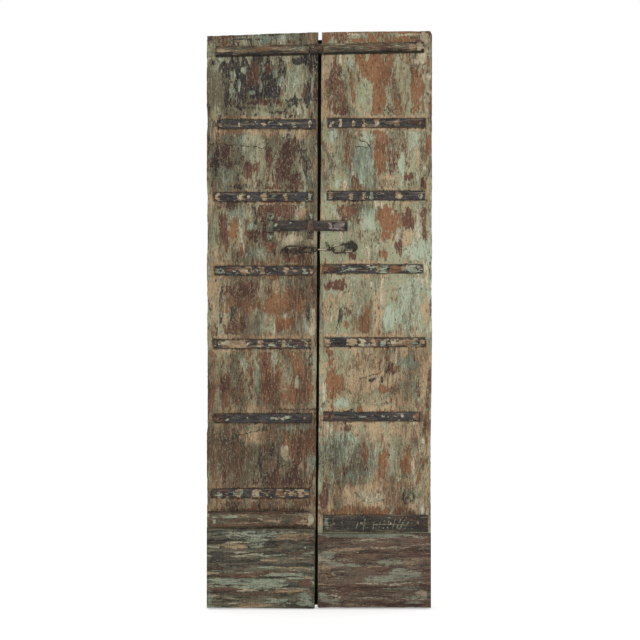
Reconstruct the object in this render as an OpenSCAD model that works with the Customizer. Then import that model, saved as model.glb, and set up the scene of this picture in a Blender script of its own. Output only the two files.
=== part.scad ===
// Pair of old ledged plank door leaves on iron wall hooks, with straps, a
// sliding bolt and a door chain. Millimetres, +Z up, front faces -Y.

/* [Leaves] */
// Height of the leaves at the meeting edge
leaf_h = 2019; // [1700:1:2500]
// Width from the meeting line to each outer edge
leaf_w = 395; // [330:1:600]
// Thickness of the planks
plank_t = 38; // [25:1:50]
// How far the worn top edge of the left leaf falls to its outer edge
left_top_fall = 14; // [0:1:30]
// How far the top edge of the right leaf rises to its outer edge
right_top_rise = 4; // [0:1:10]
// How far the meeting gap lies off centre at the bottom
gap_lean = 15; // [8:0.5:20]
// Gap between the leaves at the bottom
gap_bottom = 7; // [6:0.5:12]
// Gap between the leaves at the top
gap_top = 11; // [8:0.5:16]
// Width of the narrow strip at each outer edge
edge_strip_w = 22; // [16:1:30]
// Width of the left leaf's plank at the meeting edge
meeting_plank_w = 38; // [30:1:60]
// Width of the right leaf's plank at the meeting edge
right_plank_w = 212; // [180:1:270]
// Depth that the right leaf's outer edge has worn away
edge_wear = 10; // [0:1:14]
// Height of the middle of that worn stretch
wear_z = 470; // [420:1:600]
// Open seam between planks
seam = 0.6; // [0:0.1:2]

/* [Ledges and boards] */
// Thickness of the ledges across the back
ledge_t = 26; // [18:1:35]
// Height of each ledge
ledge_h = 70; // [50:1:90]
// How far the ledges stop short of the leaf's edges
ledge_inset = 45; // [30:1:70]
// Width of the lap strip that closes the gap from behind
lap_w = 56; // [50:1:60]
// Thickness of the lap strip
lap_t = 14; // [8:1:22]
// Thickness of the kick boards
kick_t = 13; // [8:1:18]
// Height of the left kick board
left_kick_h = 282; // [200:1:282]
// Height of the right kick board
right_kick_h = 260; // [200:1:262]
// Height of the left kick batten
batten_h = 54; // [40:1:56]
// How far the kick batten stands proud
batten_t = 20; // [12:1:26]
// Height of the iron plate over the right kick board
plate_h = 61; // [45:1:62]

/* [Top bead] */
// Radius of the bead's half-round
bead_r = 14; // [10:1:18]
// Height of the flat fillet that carries the bead
fillet_h = 36; // [30:1:44]
// Thickness of that fillet
fillet_t = 3; // [2:0.5:5]
// Drop of the bead below the top of the leaf
bead_drop = 60; // [50:1:80]
// Slope of the bead, in degrees
bead_slope = 1.2; // [0:0.1:2]

/* [Iron straps] */
// Height of each strap
strap_h = 32; // [24:1:40]
// Thickness of the straps
strap_t = 4; // [3:0.5:6]
// Height of the lowest strap's middle
strap_first = 403; // [380:1:420]
// Drop of the highest strap's middle below the top
strap_drop = 323; // [260:1:380]
// Inset of each strap's end nail
nail_inset = 20; // [14:1:30]
// Radius of the strap nails' heads
nail_head_r = 6; // [4:0.5:8]
// Radius of the nails' shanks
nail_r = 2; // [1.5:0.1:3]
// Free play around a nail's shank
nail_play = 0.3; // [0.1:0.05:0.5]

/* [Hinges] */
// Radius of each hook's upright pin
pin_r = 6; // [4:0.5:8]
// Radius of the hinge eye
eye_r = 11; // [9:0.5:14]
// Free play around the hinge pin
pin_play = 0.3; // [0.1:0.05:0.5]
// Height of a hinge band
band_h = 34; // [26:1:44]
// Thickness of a hinge band
band_t = 4; // [3:0.5:6]
// Length of a hinge band from its pin
band_l = 290; // [200:1:320]
// Distance of the hinge pins inside the outer edges
pin_inset = 22; // [18:0.5:26]
// Radius of the hooks' wall shanks
shank_r = 6; // [5:0.5:7]
// Length of the wall shanks beyond the pins
shank_l = 90; // [70:1:120]

/* [Bolt] */
// Height of the bolt bar
bar_h = 37; // [28:1:42]
// Thickness of the bolt bar
bar_t = 6; // [4:0.5:8]
// Free air behind the bar
bar_gap = 2; // [1:0.25:3]
// Drop of the bolt below the fifth strap
bolt_drop = 102; // [95:1:115]
// Reach of the bar's left end from the meeting line
bar_left = 184; // [170:1:220]
// Reach of the shot bar over the right leaf
bar_right = 98; // [60:1:100]
// Running clearance of the bar in its keepers
bar_play = 0.4; // [0.3:0.05:0.8]
// Thickness of the keepers
keeper_t = 3; // [2:0.5:4]
// Width of the keepers
keeper_w = 24; // [18:1:26]
// Radius of the large domed nail
dome_r = 12; // [9:0.5:13]

/* [Chain] */
// Drop of the chain below the fifth strap
chain_drop = 186; // [176:1:192]
// Radius of the link iron
link_r = 3.2; // [2.5:0.1:3.5]
// Width of a link across its centre line
link_w = 26; // [22:1:28]
// Tilt of the first link out of the plane of the leaves, in degrees
link_1_tilt = 20; // [10:1:20]
// Tilt of the second link, the other way
link_2_tilt = 50; // [50:1:60]
// Tilt of the shank's left eye
eye_tilt = 25; // [25:1:30]
// Clearance where links hook together
link_play = 0.5; // [0.3:0.05:0.8]
// Radius of the shank's and the anchor staple's iron
rod_r = 3; // [2.5:0.1:3.4]
// Half width of the anchor staple across its centre line
anchor_half = 8; // [7.5:0.25:9]
// Centre-line radius of the shank's eyes
eye_mid = 8; // [7.5:0.25:9]
// Radius of the ring's iron
ring_r = 3.6; // [3:0.1:4]
// Width of the ring across its centre line
ring_w = 27; // [25:1:30]
// Tilt of the ring, in degrees
ring_tilt = 7; // [0:0.5:9]
// Radius of the catch staple's iron
catch_r = 5; // [4:0.25:5.5]
// Half width of the catch staple across its centre line
catch_half = 8; // [7.5:0.25:9]
// How far the catch staple stands out of the planks
catch_out = 44; // [40:1:50]

/* [Hidden] */
$fn = 48;
eps = 0.01;

// Depths. The origin is the middle of the whole pair at its lowest point.
pin_back = eye_r + 1;
depth = catch_out + plank_t + pin_back + shank_l;
y_front = catch_out - depth / 2;
y_back = y_front + plank_t;
y_pin = y_back + pin_back;

// Straps, numbered from the bottom. Hand-nailed, so each lies a little off its pitch.
strap_pitch = (leaf_h - strap_drop - strap_first) / 5;
strap_off = [[0, 4, 6, 4, 4, 0], [0, 10, 12, 10, 8, 4]];
strap_out = [[17, 25, 25, 28, 25, 38], [0, 42, 26, 31, 26, 23]];
strap_in = [[37, 30, 30, 24, 24, 14], [0, 14, 16, 16, 26, 29]];
strap_end = [["round", "point", "round", "round", "point", "point"],
             ["", "square", "square", "round", "square", "square"]];
ledged = [0, 2, 3, 5];
ledge_grip = 0.6;
function strap_z(side, i) = strap_first + i * strap_pitch + strap_off[side][i];
function strap_x0(side, i) = side == 0 ? -leaf_w + strap_out[0][i] : strap_in[1][i];
function strap_x1(side, i) = side == 0 ? -strap_in[0][i] : leaf_w - strap_out[1][i];
function strap_l(side, i) = strap_x1(side, i) - strap_x0(side, i);
function strap_nail_x(side, i) =
    [for (k = [0:3]) strap_x0(side, i) + nail_inset + k * (strap_l(side, i) - 2 * nail_inset) / 3];
straps_on = [[0, 1, 2, 3, 4, 5], [1, 2, 3, 4, 5]];

// Leaf outline
right_floor = 4;
left_corner_lift = 4;
corner_r = 10;
top_gap_left = 0.3;
foot_wear = 0.3;
board_wear = 0.4;
function left_top(x) = leaf_h + left_top_fall * x / leaf_w;
function right_top(x) = leaf_h + right_top_rise * x / leaf_w;
left_meet_bottom = -gap_lean;
left_meet_top = -gap_top * top_gap_left;
right_meet_bottom = left_meet_bottom + gap_bottom;
right_meet_top = left_meet_top + gap_top;
function left_bottom(x) = -left_corner_lift * x / leaf_w;
left_seams = [-leaf_w + edge_strip_w, -(leaf_w - edge_strip_w + meeting_plank_w + gap_lean / 2) / 2,
              -meeting_plank_w - gap_lean / 2];
right_seams = [right_plank_w, leaf_w - edge_strip_w];

// Kick boards, the batten and the plate stand clear of the meeting edge.
board_inset = 4;
batten_z = left_kick_h + 5;
batten_outer = 5;
plate_z = right_floor + right_kick_h + 4;
plate_outer = 15;
plate_inner = 12;
board_nail_r = 4;
board_nail_l = 24;
kick_rows = [40, 215];
kick_nail_edge = 50;
bead_nail_edge = [70, 80];
bead_nail_sink = 1.5;

// The lap strip is nailed to the right leaf's back and stands lap_off clear of
// the left leaf's. It ends below the top of the bead.
lap_x = [-lap_w / 2, lap_w / 2];
lap_off = 0.5;
lap_pad_x = gap_top;
lap_drop = 22;
lap_foot = 2;
lap_nail_x = lap_w / 3;
lap_nail_end = 160;
lap_nail_pitch = (leaf_h - lap_drop - 2 * lap_nail_end) / 4;
lap_nail_z = [for (k = [0:4]) lap_nail_end + k * lap_nail_pitch];
lap_nail_bite = 20;
lap_nail_l = lap_t + lap_nail_bite;

// Hinges sit midway between the straps that have ledges behind them.
hinge_z = [strap_first + 0.5 * strap_pitch, strap_first + 4.5 * strap_pitch];
function pin_x(side) = (side == 0 ? -1 : 1) * (leaf_w - pin_inset);
collar_h = 4;
collar_r = pin_r + 4;
collar_sink = 1;
bend_r = shank_r + 1.5;
bend_l = 14;
band_nails = [60, 150, 250];
band_nail_l = 24;
hook_rise = 5;
// Flat-topped nail heads: height, and the width of the top as a share.
head_t = 2.4;
head_top = 0.6;

// Bolt
bolt_z = strap_z(0, 4) - bolt_drop;
bar_front = y_front - bar_gap - bar_t;
keeper_in = bar_h / 2 + bar_play;
outer_keeper_x = -bar_left;
inner_keeper_x = -44;
outer_feet = [26, 28];
inner_feet = [31, 25];
keeper_nail_l = 22;
// Where the nails sit, as a share of the foot's length.
dome_place = 0.54;
foot_nail_place = 0.55;
lost_nail_place = 0.62;
// Shape of the domed head, as shares of its radius.
dome_ball = 1.2;
dome_sink = 0.6;

// Chain joints, from the anchor staple to the catch staple
chain_z = strap_z(0, 4) - chain_drop;
chain_off = 0.6;
y_chain = y_front - strap_t - chain_off - link_r - link_w / 2 * sin(link_2_tilt);
link_1_x = -121;
anchor_x = link_1_x + link_r + rod_r + link_play - anchor_half;
anchor_front = 6;
anchor_deep = 20;
catch_deep = 24;
shank_swell = 0.4;
joint_1 = -66;
joint_2 = -23;
joint_3 = 50;
ring_right = 135;
catch_x = 111;
catch_z = chain_z + 10;

// ---- shared shapes ----

// Extrudes an X-Z outline from y towards the front.
module slab(y, t) {
    translate([0, y, 0]) rotate([90, 0, 0]) linear_extrude(t) children();
}

// Clearance holes of the nails that pass through the planks of one leaf.
module nail_holes(side, extra = 0) {
    for (i = straps_on[side], x = strap_nail_x(side, i))
        bore_at(x, strap_z(side, i), y_front - strap_t - 1, plank_t + strap_t + ledge_t + 1);
}

module bore_at(x, z, y, l, r = nail_r + nail_play) {
    translate([x, y, z]) rotate([-90, 0, 0]) cylinder(h = l, r = r);
}

// A nail driven from the front: flat-topped head, straight shank.
module front_nail(x, z, y, l, head = nail_head_r) {
    translate([x, y, z]) rotate([-90, 0, 0]) {
        cylinder(h = l, r = nail_r);
        translate([0, 0, -head_t]) cylinder(h = head_t, r1 = head * head_top, r2 = head);
    }
}

// A nail driven from the back through an iron or board of thickness proud.
module back_nail(x, z, proud, l) {
    translate([x, y_back + proud, z]) rotate([90, 0, 0]) {
        cylinder(h = l, r = nail_r);
        translate([0, 0, -head_t]) cylinder(h = head_t, r1 = nail_head_r * head_top, r2 = nail_head_r);
    }
}

function sgn(side) = side == 0 ? -1 : 1;

// Holes of the band nails, board nails and bolt nails, for the planks.
module band_holes(side) {
    for (z = hinge_z, s = band_nails)
        bore_at(pin_x(side) - sgn(side) * s, z + band_h / 2, y_back - band_nail_l + band_t - 1,
                band_nail_l + 2);
}

function kick_nail_x(side) =
    [for (k = [0:3]) sgn(side) * (kick_nail_edge + k * (leaf_w - 2 * kick_nail_edge) / 3)];
function bead_nail_x(side) =
    [for (k = [0:2]) sgn(side) * (bead_nail_edge[0]
                                  + k * (leaf_w - bead_nail_edge[0] - bead_nail_edge[1]) / 2)];
function bead_z(x) = leaf_h - bead_drop + x * tan(bead_slope);
batten_mid = batten_z + batten_h / 2;
plate_mid = plate_z + plate_h / 2;

module board_holes(side) {
    for (x = kick_nail_x(side), z = kick_rows)
        bore_at(x, z, y_front - kick_t - 1, board_nail_l + kick_t + 3);
    for (x = kick_nail_x(side))
        bore_at(x, side == 0 ? batten_mid : plate_mid, y_front - batten_t - 1,
                board_nail_l + batten_t + 3);
    for (x = bead_nail_x(side))
        bore_at(x, bead_z(x), y_front - bead_r - fillet_t - 1, board_nail_l + bead_r + 6);
}

keeper_nails = [
    [outer_keeper_x + keeper_w / 2, bolt_z - keeper_in - keeper_t - outer_feet[1] * dome_place],
    [inner_keeper_x + keeper_w / 2, bolt_z + keeper_in + keeper_t + inner_feet[0] * foot_nail_place],
    [inner_keeper_x + keeper_w / 2, bolt_z - keeper_in - keeper_t - inner_feet[1] * foot_nail_place]
];
empty_hole = [outer_keeper_x + keeper_w / 2,
              bolt_z + keeper_in + keeper_t + outer_feet[0] * lost_nail_place];

module bolt_holes() {
    for (p = concat(keeper_nails, [empty_hole])) bore_at(p[0], p[1], y_front - 1, keeper_nail_l + 2);
    for (s = [-1, 1])
        bore_at(anchor_x + s * anchor_half, chain_z, y_front - 1, anchor_deep + 2, rod_r + nail_play);
}

module catch_holes() {
    for (s = [-1, 1])
        bore_at(catch_x + s * catch_half, catch_z, y_front - 1, catch_deep + 2, catch_r + nail_play);
}

module lap_holes() {
    for (z = lap_nail_z) bore_at(lap_nail_x, z, y_back + lap_t - lap_nail_l - 1, lap_nail_l + 2);
}

module leaf_bores(side) {
    nail_holes(side);
    band_holes(side);
    board_holes(side);
    if (side == 0) bolt_holes();
    if (side == 1) catch_holes();
    if (side == 1) lap_holes();
}

// ---- planks ----

module left_board(x0, x1) {
    color([0.56, 0.58, 0.46]) difference() {
        slab(y_back, plank_t)
            polygon([[x0, left_bottom(x0)], [x1, left_bottom(x1)], [x1, left_top(x1)], [x0, left_top(x0)]]);
        leaf_bores(0);
    }
}

module left_edge_strip() left_board(-leaf_w, left_seams[0] - seam / 2);
module left_plank_outer() left_board(left_seams[0] + seam / 2, left_seams[1] - seam / 2);
module left_plank_inner() left_board(left_seams[1] + seam / 2, left_seams[2] - seam / 2);

module left_plank_meeting() {
    x0 = left_seams[2] + seam / 2;
    color([0.56, 0.58, 0.46]) difference() {
        slab(y_back, plank_t)
            polygon([[x0, left_bottom(x0)], [left_meet_bottom, 0],
                     [left_meet_top, leaf_h], [x0, left_top(x0)]]);
        leaf_bores(0);
    }
}

module right_plank_meeting() {
    x1 = right_seams[0] - seam / 2;
    color([0.6, 0.56, 0.44]) difference() {
        slab(y_back, plank_t)
            polygon([[right_meet_bottom, right_floor], [x1, right_floor], [x1, right_top(x1)],
                     [right_meet_top, leaf_h]]);
        leaf_bores(1);
    }
}

module right_plank_outer() {
    x0 = right_seams[0] + seam / 2;
    x1 = right_seams[1] - seam / 2;
    color([0.6, 0.56, 0.44]) difference() {
        slab(y_back, plank_t)
            polygon([[x0, right_floor], [x1, right_floor], [x1, right_top(x1)], [x0, right_top(x0)]]);
        leaf_bores(1);
    }
}

// The outer strip has a rounded top corner and is worn thin low down.
module right_edge_strip() {
    x0 = right_seams[1] + seam / 2;
    top = right_top(leaf_w);
    // Share of the wear, and height from wear_z.
    wear_line = [[0.4, -270], [1, -80], [1, 70], [0.5, 130], [0.25, 260], [0, 480]];
    color([0.6, 0.56, 0.44]) difference() {
        slab(y_back, plank_t)
            polygon(concat(
                [[x0, right_floor], [leaf_w - edge_wear * foot_wear, right_floor]],
                [for (w = wear_line) [leaf_w - edge_wear * w[0], wear_z + w[1]]],
                [for (a = [0:15:90]) [leaf_w - corner_r + corner_r * cos(a),
                                      top - corner_r + corner_r * sin(a)]],
                [[x0, right_top(x0)]]));
        leaf_bores(1);
    }
}

// ---- top bead ----

// Half-round bead on a flat fillet, from x0 to x1, following the slope.
module bead(x0, x1, y = y_front) {
    z0 = bead_z(x0);
    translate([x0, y, z0]) rotate([0, -bead_slope, 0]) rotate([90, 0, 90])
        linear_extrude((x1 - x0) / cos(bead_slope)) {
            translate([-fillet_t, -fillet_h / 2]) square([fillet_t, fillet_h]);
            intersection() {
                translate([-fillet_t, 0]) circle(r = bead_r);
                translate([-fillet_t - bead_r, -bead_r]) square([bead_r, 2 * bead_r]);
            }
        }
}

bead_left = [-leaf_w + 32, -39];
stub_x = [-31, 9.5];
bead_right = [15, leaf_w - 29];

module left_top_bead() {
    color([0.5, 0.42, 0.34]) difference() {
        bead(bead_left[0], bead_left[1]);
        board_holes(0);
    }
}

// The stub stands 0.4 off the planks, where it reaches over the right leaf.
module left_bead_stub() {
    stub_off = 0.4;
    pad_in = 2;
    color([0.5, 0.42, 0.34]) {
        bead(stub_x[0], stub_x[1], y_front - stub_off);
        translate([stub_x[0], y_front - stub_off - eps, bead_z(stub_x[0]) - fillet_h / 2 + pad_in])
            cube([left_meet_top - stub_x[0] - pad_in, stub_off + eps, fillet_h - 2 * pad_in]);
    }
}

module right_top_bead() {
    color([0.5, 0.42, 0.34]) difference() {
        bead(bead_right[0], bead_right[1]);
        board_holes(1);
    }
}

// ---- straps ----

// Outline of a strap: its outer end is cut to a point, rounded or left square.
module strap_outline(l, style) {
    h = strap_h;
    tip = h * 0.12;
    if (style == "point")
        polygon([[0, -tip], [0, tip], [h / 2, h / 2], [l, h / 2], [l, -h / 2], [h / 2, -h / 2]]);
    else if (style == "round") {
        translate([h / 2, -h / 2]) square([l - h / 2, h]);
        translate([h / 2, 0]) circle(d = h);
    } else
        translate([0, -h / 2]) square([l, h]);
}

module strap(side, i) {
    flip = side == 1;
    color([0.25, 0.25, 0.26]) difference() {
        slab(y_front, strap_t)
            translate([flip ? strap_x1(side, i) : strap_x0(side, i), strap_z(side, i)])
                mirror([flip ? 1 : 0, 0]) strap_outline(strap_l(side, i), strap_end[side][i]);
        nail_holes(side);
    }
}

module left_strap_1() strap(0, 0);
module left_strap_2() strap(0, 1);
module left_strap_3() strap(0, 2);
module left_strap_4() strap(0, 3);
module left_strap_5() strap(0, 4);
module left_strap_6() strap(0, 5);
module right_strap_2() strap(1, 1);
module right_strap_3() strap(1, 2);
module right_strap_4() strap(1, 3);
module right_strap_5() strap(1, 4);
module right_strap_6() strap(1, 5);

module strap_nails(side) {
    color([0.2, 0.2, 0.21])
        for (i = straps_on[side], x = strap_nail_x(side, i)) {
            into = len(search(i, ledged)) > 0 ? ledge_t * ledge_grip : -1;
            front_nail(x, strap_z(side, i), y_front - strap_t, strap_t + plank_t + into);
        }
}

module left_strap_nails() strap_nails(0);
module right_strap_nails() strap_nails(1);

// ---- kick boards, batten and plate ----

module right_kick_plate() {
    color([0.3, 0.31, 0.31]) difference() {
        slab(y_front, strap_t)
            translate([plate_inner, plate_z]) square([leaf_w - plate_outer - plate_inner, plate_h]);
        board_holes(1);
    }
}

module left_kick_board() {
    x1 = left_meet_bottom - board_inset;
    color([0.58, 0.6, 0.5]) difference() {
        slab(y_front, kick_t)
            polygon([[-leaf_w + 1, left_bottom(-leaf_w)], [x1, left_bottom(x1)], [x1, left_kick_h],
                     [-leaf_w + 1, left_kick_h]]);
        board_holes(0);
    }
}

module right_kick_board() {
    x0 = right_meet_bottom + board_inset;
    color([0.5, 0.45, 0.4]) difference() {
        slab(y_front, kick_t)
            translate([x0, right_floor]) square([leaf_w - edge_wear * board_wear - 1 - x0, right_kick_h]);
        board_holes(1);
    }
}

module left_kick_batten() {
    x0 = -leaf_w + batten_outer;
    x1 = left_meet_bottom - board_inset;
    color([0.52, 0.54, 0.46]) difference() {
        slab(y_front, batten_t) {
            translate([x0, batten_z]) square([x1 - x0 - batten_h / 2, batten_h]);
            translate([x1 - batten_h / 2, batten_mid]) circle(d = batten_h);
        }
        board_holes(0);
    }
}

module board_nails(side) {
    color([0.3, 0.26, 0.22]) {
        for (x = kick_nail_x(side), z = kick_rows)
            front_nail(x, z, y_front - kick_t, board_nail_l + kick_t, board_nail_r);
        for (x = kick_nail_x(side)) {
            proud = side == 0 ? batten_t : strap_t;
            front_nail(x, side == 0 ? batten_mid : plate_mid, y_front - proud,
                       board_nail_l + proud, side == 0 ? board_nail_r : nail_head_r);
        }
        for (x = bead_nail_x(side))
            bore_at(x, bead_z(x), y_front - bead_r - fillet_t + bead_nail_sink, board_nail_l + bead_r, nail_r);
    }
}

module left_board_nails() board_nails(0);
module right_board_nails() board_nails(1);

// ---- ledges across the back ----

module ledge(side, k) {
    i = ledged[k];
    z = strap_z(side, i);
    x0 = side == 0 ? -leaf_w + ledge_inset : ledge_inset;
    color([0.42, 0.33, 0.24]) difference() {
        slab(y_back + ledge_t, ledge_t)
            translate([x0, z - ledge_h / 2]) square([leaf_w - 2 * ledge_inset, ledge_h]);
        nail_holes(side);
    }
}

module left_ledge_1() ledge(0, 0);
module left_ledge_2() ledge(0, 1);
module left_ledge_3() ledge(0, 2);
module left_ledge_4() ledge(0, 3);
module right_ledge_1() ledge(1, 0);
module right_ledge_2() ledge(1, 1);
module right_ledge_3() ledge(1, 2);
module right_ledge_4() ledge(1, 3);

// A strip behind the gap, so that no light shows between the leaves.
module right_lap_strip() {
    z0 = right_floor + lap_foot;
    tall = leaf_h - lap_drop - z0;
    color([0.42, 0.33, 0.24]) difference() {
        union() {
            translate([lap_x[0], y_back + lap_off, z0]) cube([lap_w, lap_t - lap_off, tall]);
            translate([lap_pad_x, y_back, z0]) cube([lap_x[1] - lap_pad_x, lap_off + eps, tall]);
        }
        lap_holes();
    }
}

module right_lap_nails()
    color([0.2, 0.19, 0.18])
        for (z = lap_nail_z) back_nail(lap_nail_x, z, lap_t, lap_nail_l);

// ---- hinge bands and wall hooks ----

module hinge_band(side, z) {
    x = pin_x(side);
    color([0.24, 0.22, 0.21]) difference() {
        union() {
            translate([side == 0 ? x : x - band_l, y_back, z]) cube([band_l, band_t, band_h]);
            translate([x, y_pin, z]) cylinder(h = band_h, r = eye_r);
        }
        translate([x, y_pin, z - 1]) cylinder(h = band_h + 2, r = pin_r + pin_play);
        band_holes(side);
    }
}

module left_hinge_band_lower() hinge_band(0, hinge_z[0]);
module left_hinge_band_upper() hinge_band(0, hinge_z[1]);
module right_hinge_band_lower() hinge_band(1, hinge_z[0]);
module right_hinge_band_upper() hinge_band(1, hinge_z[1]);

module band_nail_set(side) {
    color([0.2, 0.19, 0.18])
        for (z = hinge_z, s = band_nails)
            back_nail(pin_x(side) - sgn(side) * s, z + band_h / 2, band_t, band_nail_l);
}

module left_band_nails() band_nail_set(0);
module right_band_nails() band_nail_set(1);

// A hook driven into the wall: the band's eye turns on its upright pin, and
// the thick bend behind the pin stops it at the wall's face.
module wall_hook(side, z) {
    seat = z - pin_play;
    shank_z = seat - collar_h - shank_r + collar_sink;
    color([0.22, 0.2, 0.19]) translate([pin_x(side), y_pin, 0]) {
        translate([0, 0, shank_z]) cylinder(h = z + band_h + hook_rise - shank_z, r = pin_r);
        translate([0, 0, seat - collar_h]) cylinder(h = collar_h, r = collar_r);
        translate([0, 0, shank_z]) sphere(r = bend_r);
        translate([0, 0, shank_z]) rotate([-90, 0, 0]) {
            cylinder(h = bend_l, r = bend_r);
            cylinder(h = shank_l, r = shank_r);
        }
    }
}

module left_hook_lower() wall_hook(0, hinge_z[0]);
module left_hook_upper() wall_hook(0, hinge_z[1]);
module right_hook_lower() wall_hook(1, hinge_z[0]);
module right_hook_upper() wall_hook(1, hinge_z[1]);

// ---- bolt ----

module bolt_bar() {
    color([0.3, 0.29, 0.29]) translate([-bar_left, bar_front, bolt_z - bar_h / 2])
        cube([bar_left + bar_right, bar_t, bar_h]);
}

// A strap bent over the bar, with a foot above and one below it.
module keeper(x, feet) {
    out = y_front - bar_front + bar_play + keeper_t;
    top = keeper_in + keeper_t;
    difference() {
        translate([x, 0, bolt_z]) {
            translate([0, y_front - out, -top]) cube([keeper_w, keeper_t, 2 * top]);
            translate([0, y_front - out, keeper_in]) cube([keeper_w, out, keeper_t]);
            translate([0, y_front - out, -top]) cube([keeper_w, out, keeper_t]);
            translate([0, y_front - keeper_t, keeper_in]) cube([keeper_w, keeper_t, keeper_t + feet[0]]);
            translate([0, y_front - keeper_t, -top - feet[1]])
                cube([keeper_w, keeper_t, keeper_t + feet[1]]);
        }
        for (p = concat(keeper_nails, [empty_hole]))
            bore_at(p[0], p[1], y_front - keeper_t - 1, keeper_t + 2);
    }
}

module bolt_keeper_outer() color([0.28, 0.27, 0.27]) keeper(outer_keeper_x, outer_feet);
module bolt_keeper_inner() color([0.42, 0.32, 0.3]) keeper(inner_keeper_x, inner_feet);

module bolt_keeper_nails() {
    color([0.22, 0.21, 0.21]) {
        for (k = [1, 2])
            front_nail(keeper_nails[k][0], keeper_nails[k][1], y_front - keeper_t, keeper_nail_l);
        translate([keeper_nails[0][0], y_front - keeper_t, keeper_nails[0][1]]) rotate([-90, 0, 0]) {
            cylinder(h = keeper_nail_l, r = nail_r);
            intersection() {
                translate([0, 0, dome_r * dome_sink]) sphere(r = dome_r * dome_ball);
                translate([0, 0, -dome_r]) cylinder(h = dome_r, r = dome_r);
            }
        }
    }
}

// ---- chain ----

// A ring bent from round iron, in the X-Z plane: straight legs and round ends.
// x0 and x1 are the centre lines of its two ends.
module loop(x0, x1, width, r) {
    mid = width / 2;
    rotate([90, 0, 0]) {
        translate([x1 - mid, 0, 0]) rotate([0, 0, -90])
            rotate_extrude(angle = 180) translate([mid, 0]) circle(r = r);
        translate([x0 + mid, 0, 0]) rotate([0, 0, 90])
            rotate_extrude(angle = 180) translate([mid, 0]) circle(r = r);
        for (s = [-1, 1])
            translate([x0 + mid - eps, s * mid, 0]) rotate([0, 90, 0])
                cylinder(h = x1 - x0 - width + 2 * eps, r = r);
    }
}

// A staple in the X-Y plane, driven into the planks at (x, z).
module staple(x, z, half, r, out, deep) {
    bow = y_front - out + half + r;
    for (s = [-1, 1])
        translate([x + s * half, bow - eps, z]) rotate([-90, 0, 0])
            cylinder(h = y_front - bow + deep, r = r);
    translate([x, bow, z]) rotate([0, 0, 180])
        rotate_extrude(angle = 180) translate([half, 0]) circle(r = r);
}

anchor_out = y_front - y_chain + anchor_front + anchor_half + rod_r;
hook_1 = link_r + link_play / 2;
hook_2 = (link_r + rod_r + link_play) / 2;

module chain_staple()
    color([0.22, 0.21, 0.21])
        staple(anchor_x, chain_z, anchor_half, rod_r, anchor_out, anchor_deep);

module chain_link_1()
    color([0.34, 0.3, 0.27]) translate([0, y_chain, chain_z]) rotate([link_1_tilt, 0, 0])
        loop(link_1_x, joint_1 + hook_1, link_w, link_r);

module chain_link_2()
    color([0.3, 0.27, 0.25]) translate([0, y_chain, chain_z]) rotate([-link_2_tilt, 0, 0])
        loop(joint_1 - hook_1, joint_2 + hook_2, link_w, link_r);

// Forged shank with an eye at each end, turned to suit its neighbours.
module chain_shank() {
    eye_l = joint_2 - hook_2 + eye_mid;
    eye_r3 = joint_3 + (ring_r + rod_r + link_play) / 2 - eye_mid;
    color([0.28, 0.26, 0.25]) translate([0, y_chain, chain_z]) {
        translate([eye_l, 0, 0]) rotate([eye_tilt, 0, 0]) rotate([90, 0, 0])
            rotate_extrude() translate([eye_mid, 0]) circle(r = rod_r);
        translate([eye_r3, 0, 0]) rotate_extrude() translate([eye_mid, 0]) circle(r = rod_r);
        translate([eye_l + eye_mid, 0, 0]) rotate([0, 90, 0])
            cylinder(h = eye_r3 - eye_l - 2 * eye_mid, r = rod_r + shank_swell);
    }
}

module chain_ring()
    color([0.36, 0.32, 0.3])
        translate([joint_3 - (ring_r + rod_r + link_play) / 2, y_chain, chain_z])
            rotate([0, -ring_tilt, 0])
                loop(0, ring_right - ring_r - joint_3 + (ring_r + rod_r + link_play) / 2, ring_w, ring_r);

module catch_staple()
    color([0.24, 0.28, 0.28]) staple(catch_x, catch_z, catch_half, catch_r, catch_out, catch_deep);

// ---- nodes ----

left_edge_strip();
left_plank_outer();
left_plank_inner();
left_plank_meeting();
right_plank_meeting();
right_plank_outer();
right_edge_strip();
left_top_bead();
left_bead_stub();
right_top_bead();
left_strap_1();
left_strap_2();
left_strap_3();
left_strap_4();
left_strap_5();
left_strap_6();
right_strap_2();
right_strap_3();
right_strap_4();
right_strap_5();
right_strap_6();
right_kick_plate();
left_kick_board();
right_kick_board();
left_kick_batten();
left_ledge_1();
left_ledge_2();
left_ledge_3();
left_ledge_4();
right_ledge_1();
right_ledge_2();
right_ledge_3();
right_ledge_4();
right_lap_strip();
left_hinge_band_lower();
left_hinge_band_upper();
right_hinge_band_lower();
right_hinge_band_upper();
left_hook_lower();
left_hook_upper();
right_hook_lower();
right_hook_upper();
left_strap_nails();
right_strap_nails();
left_board_nails();
right_board_nails();
left_band_nails();
right_band_nails();
right_lap_nails();
bolt_bar();
bolt_keeper_outer();
bolt_keeper_inner();
bolt_keeper_nails();
chain_staple();
chain_link_1();
chain_link_2();
chain_shank();
chain_ring();
catch_staple();
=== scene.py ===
# The old pair of door leaves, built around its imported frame: the leaves, the
# irons and the hooks are where the frame has them, and all lengths below are
# in millimetres until a mesh is made.
import math

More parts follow.
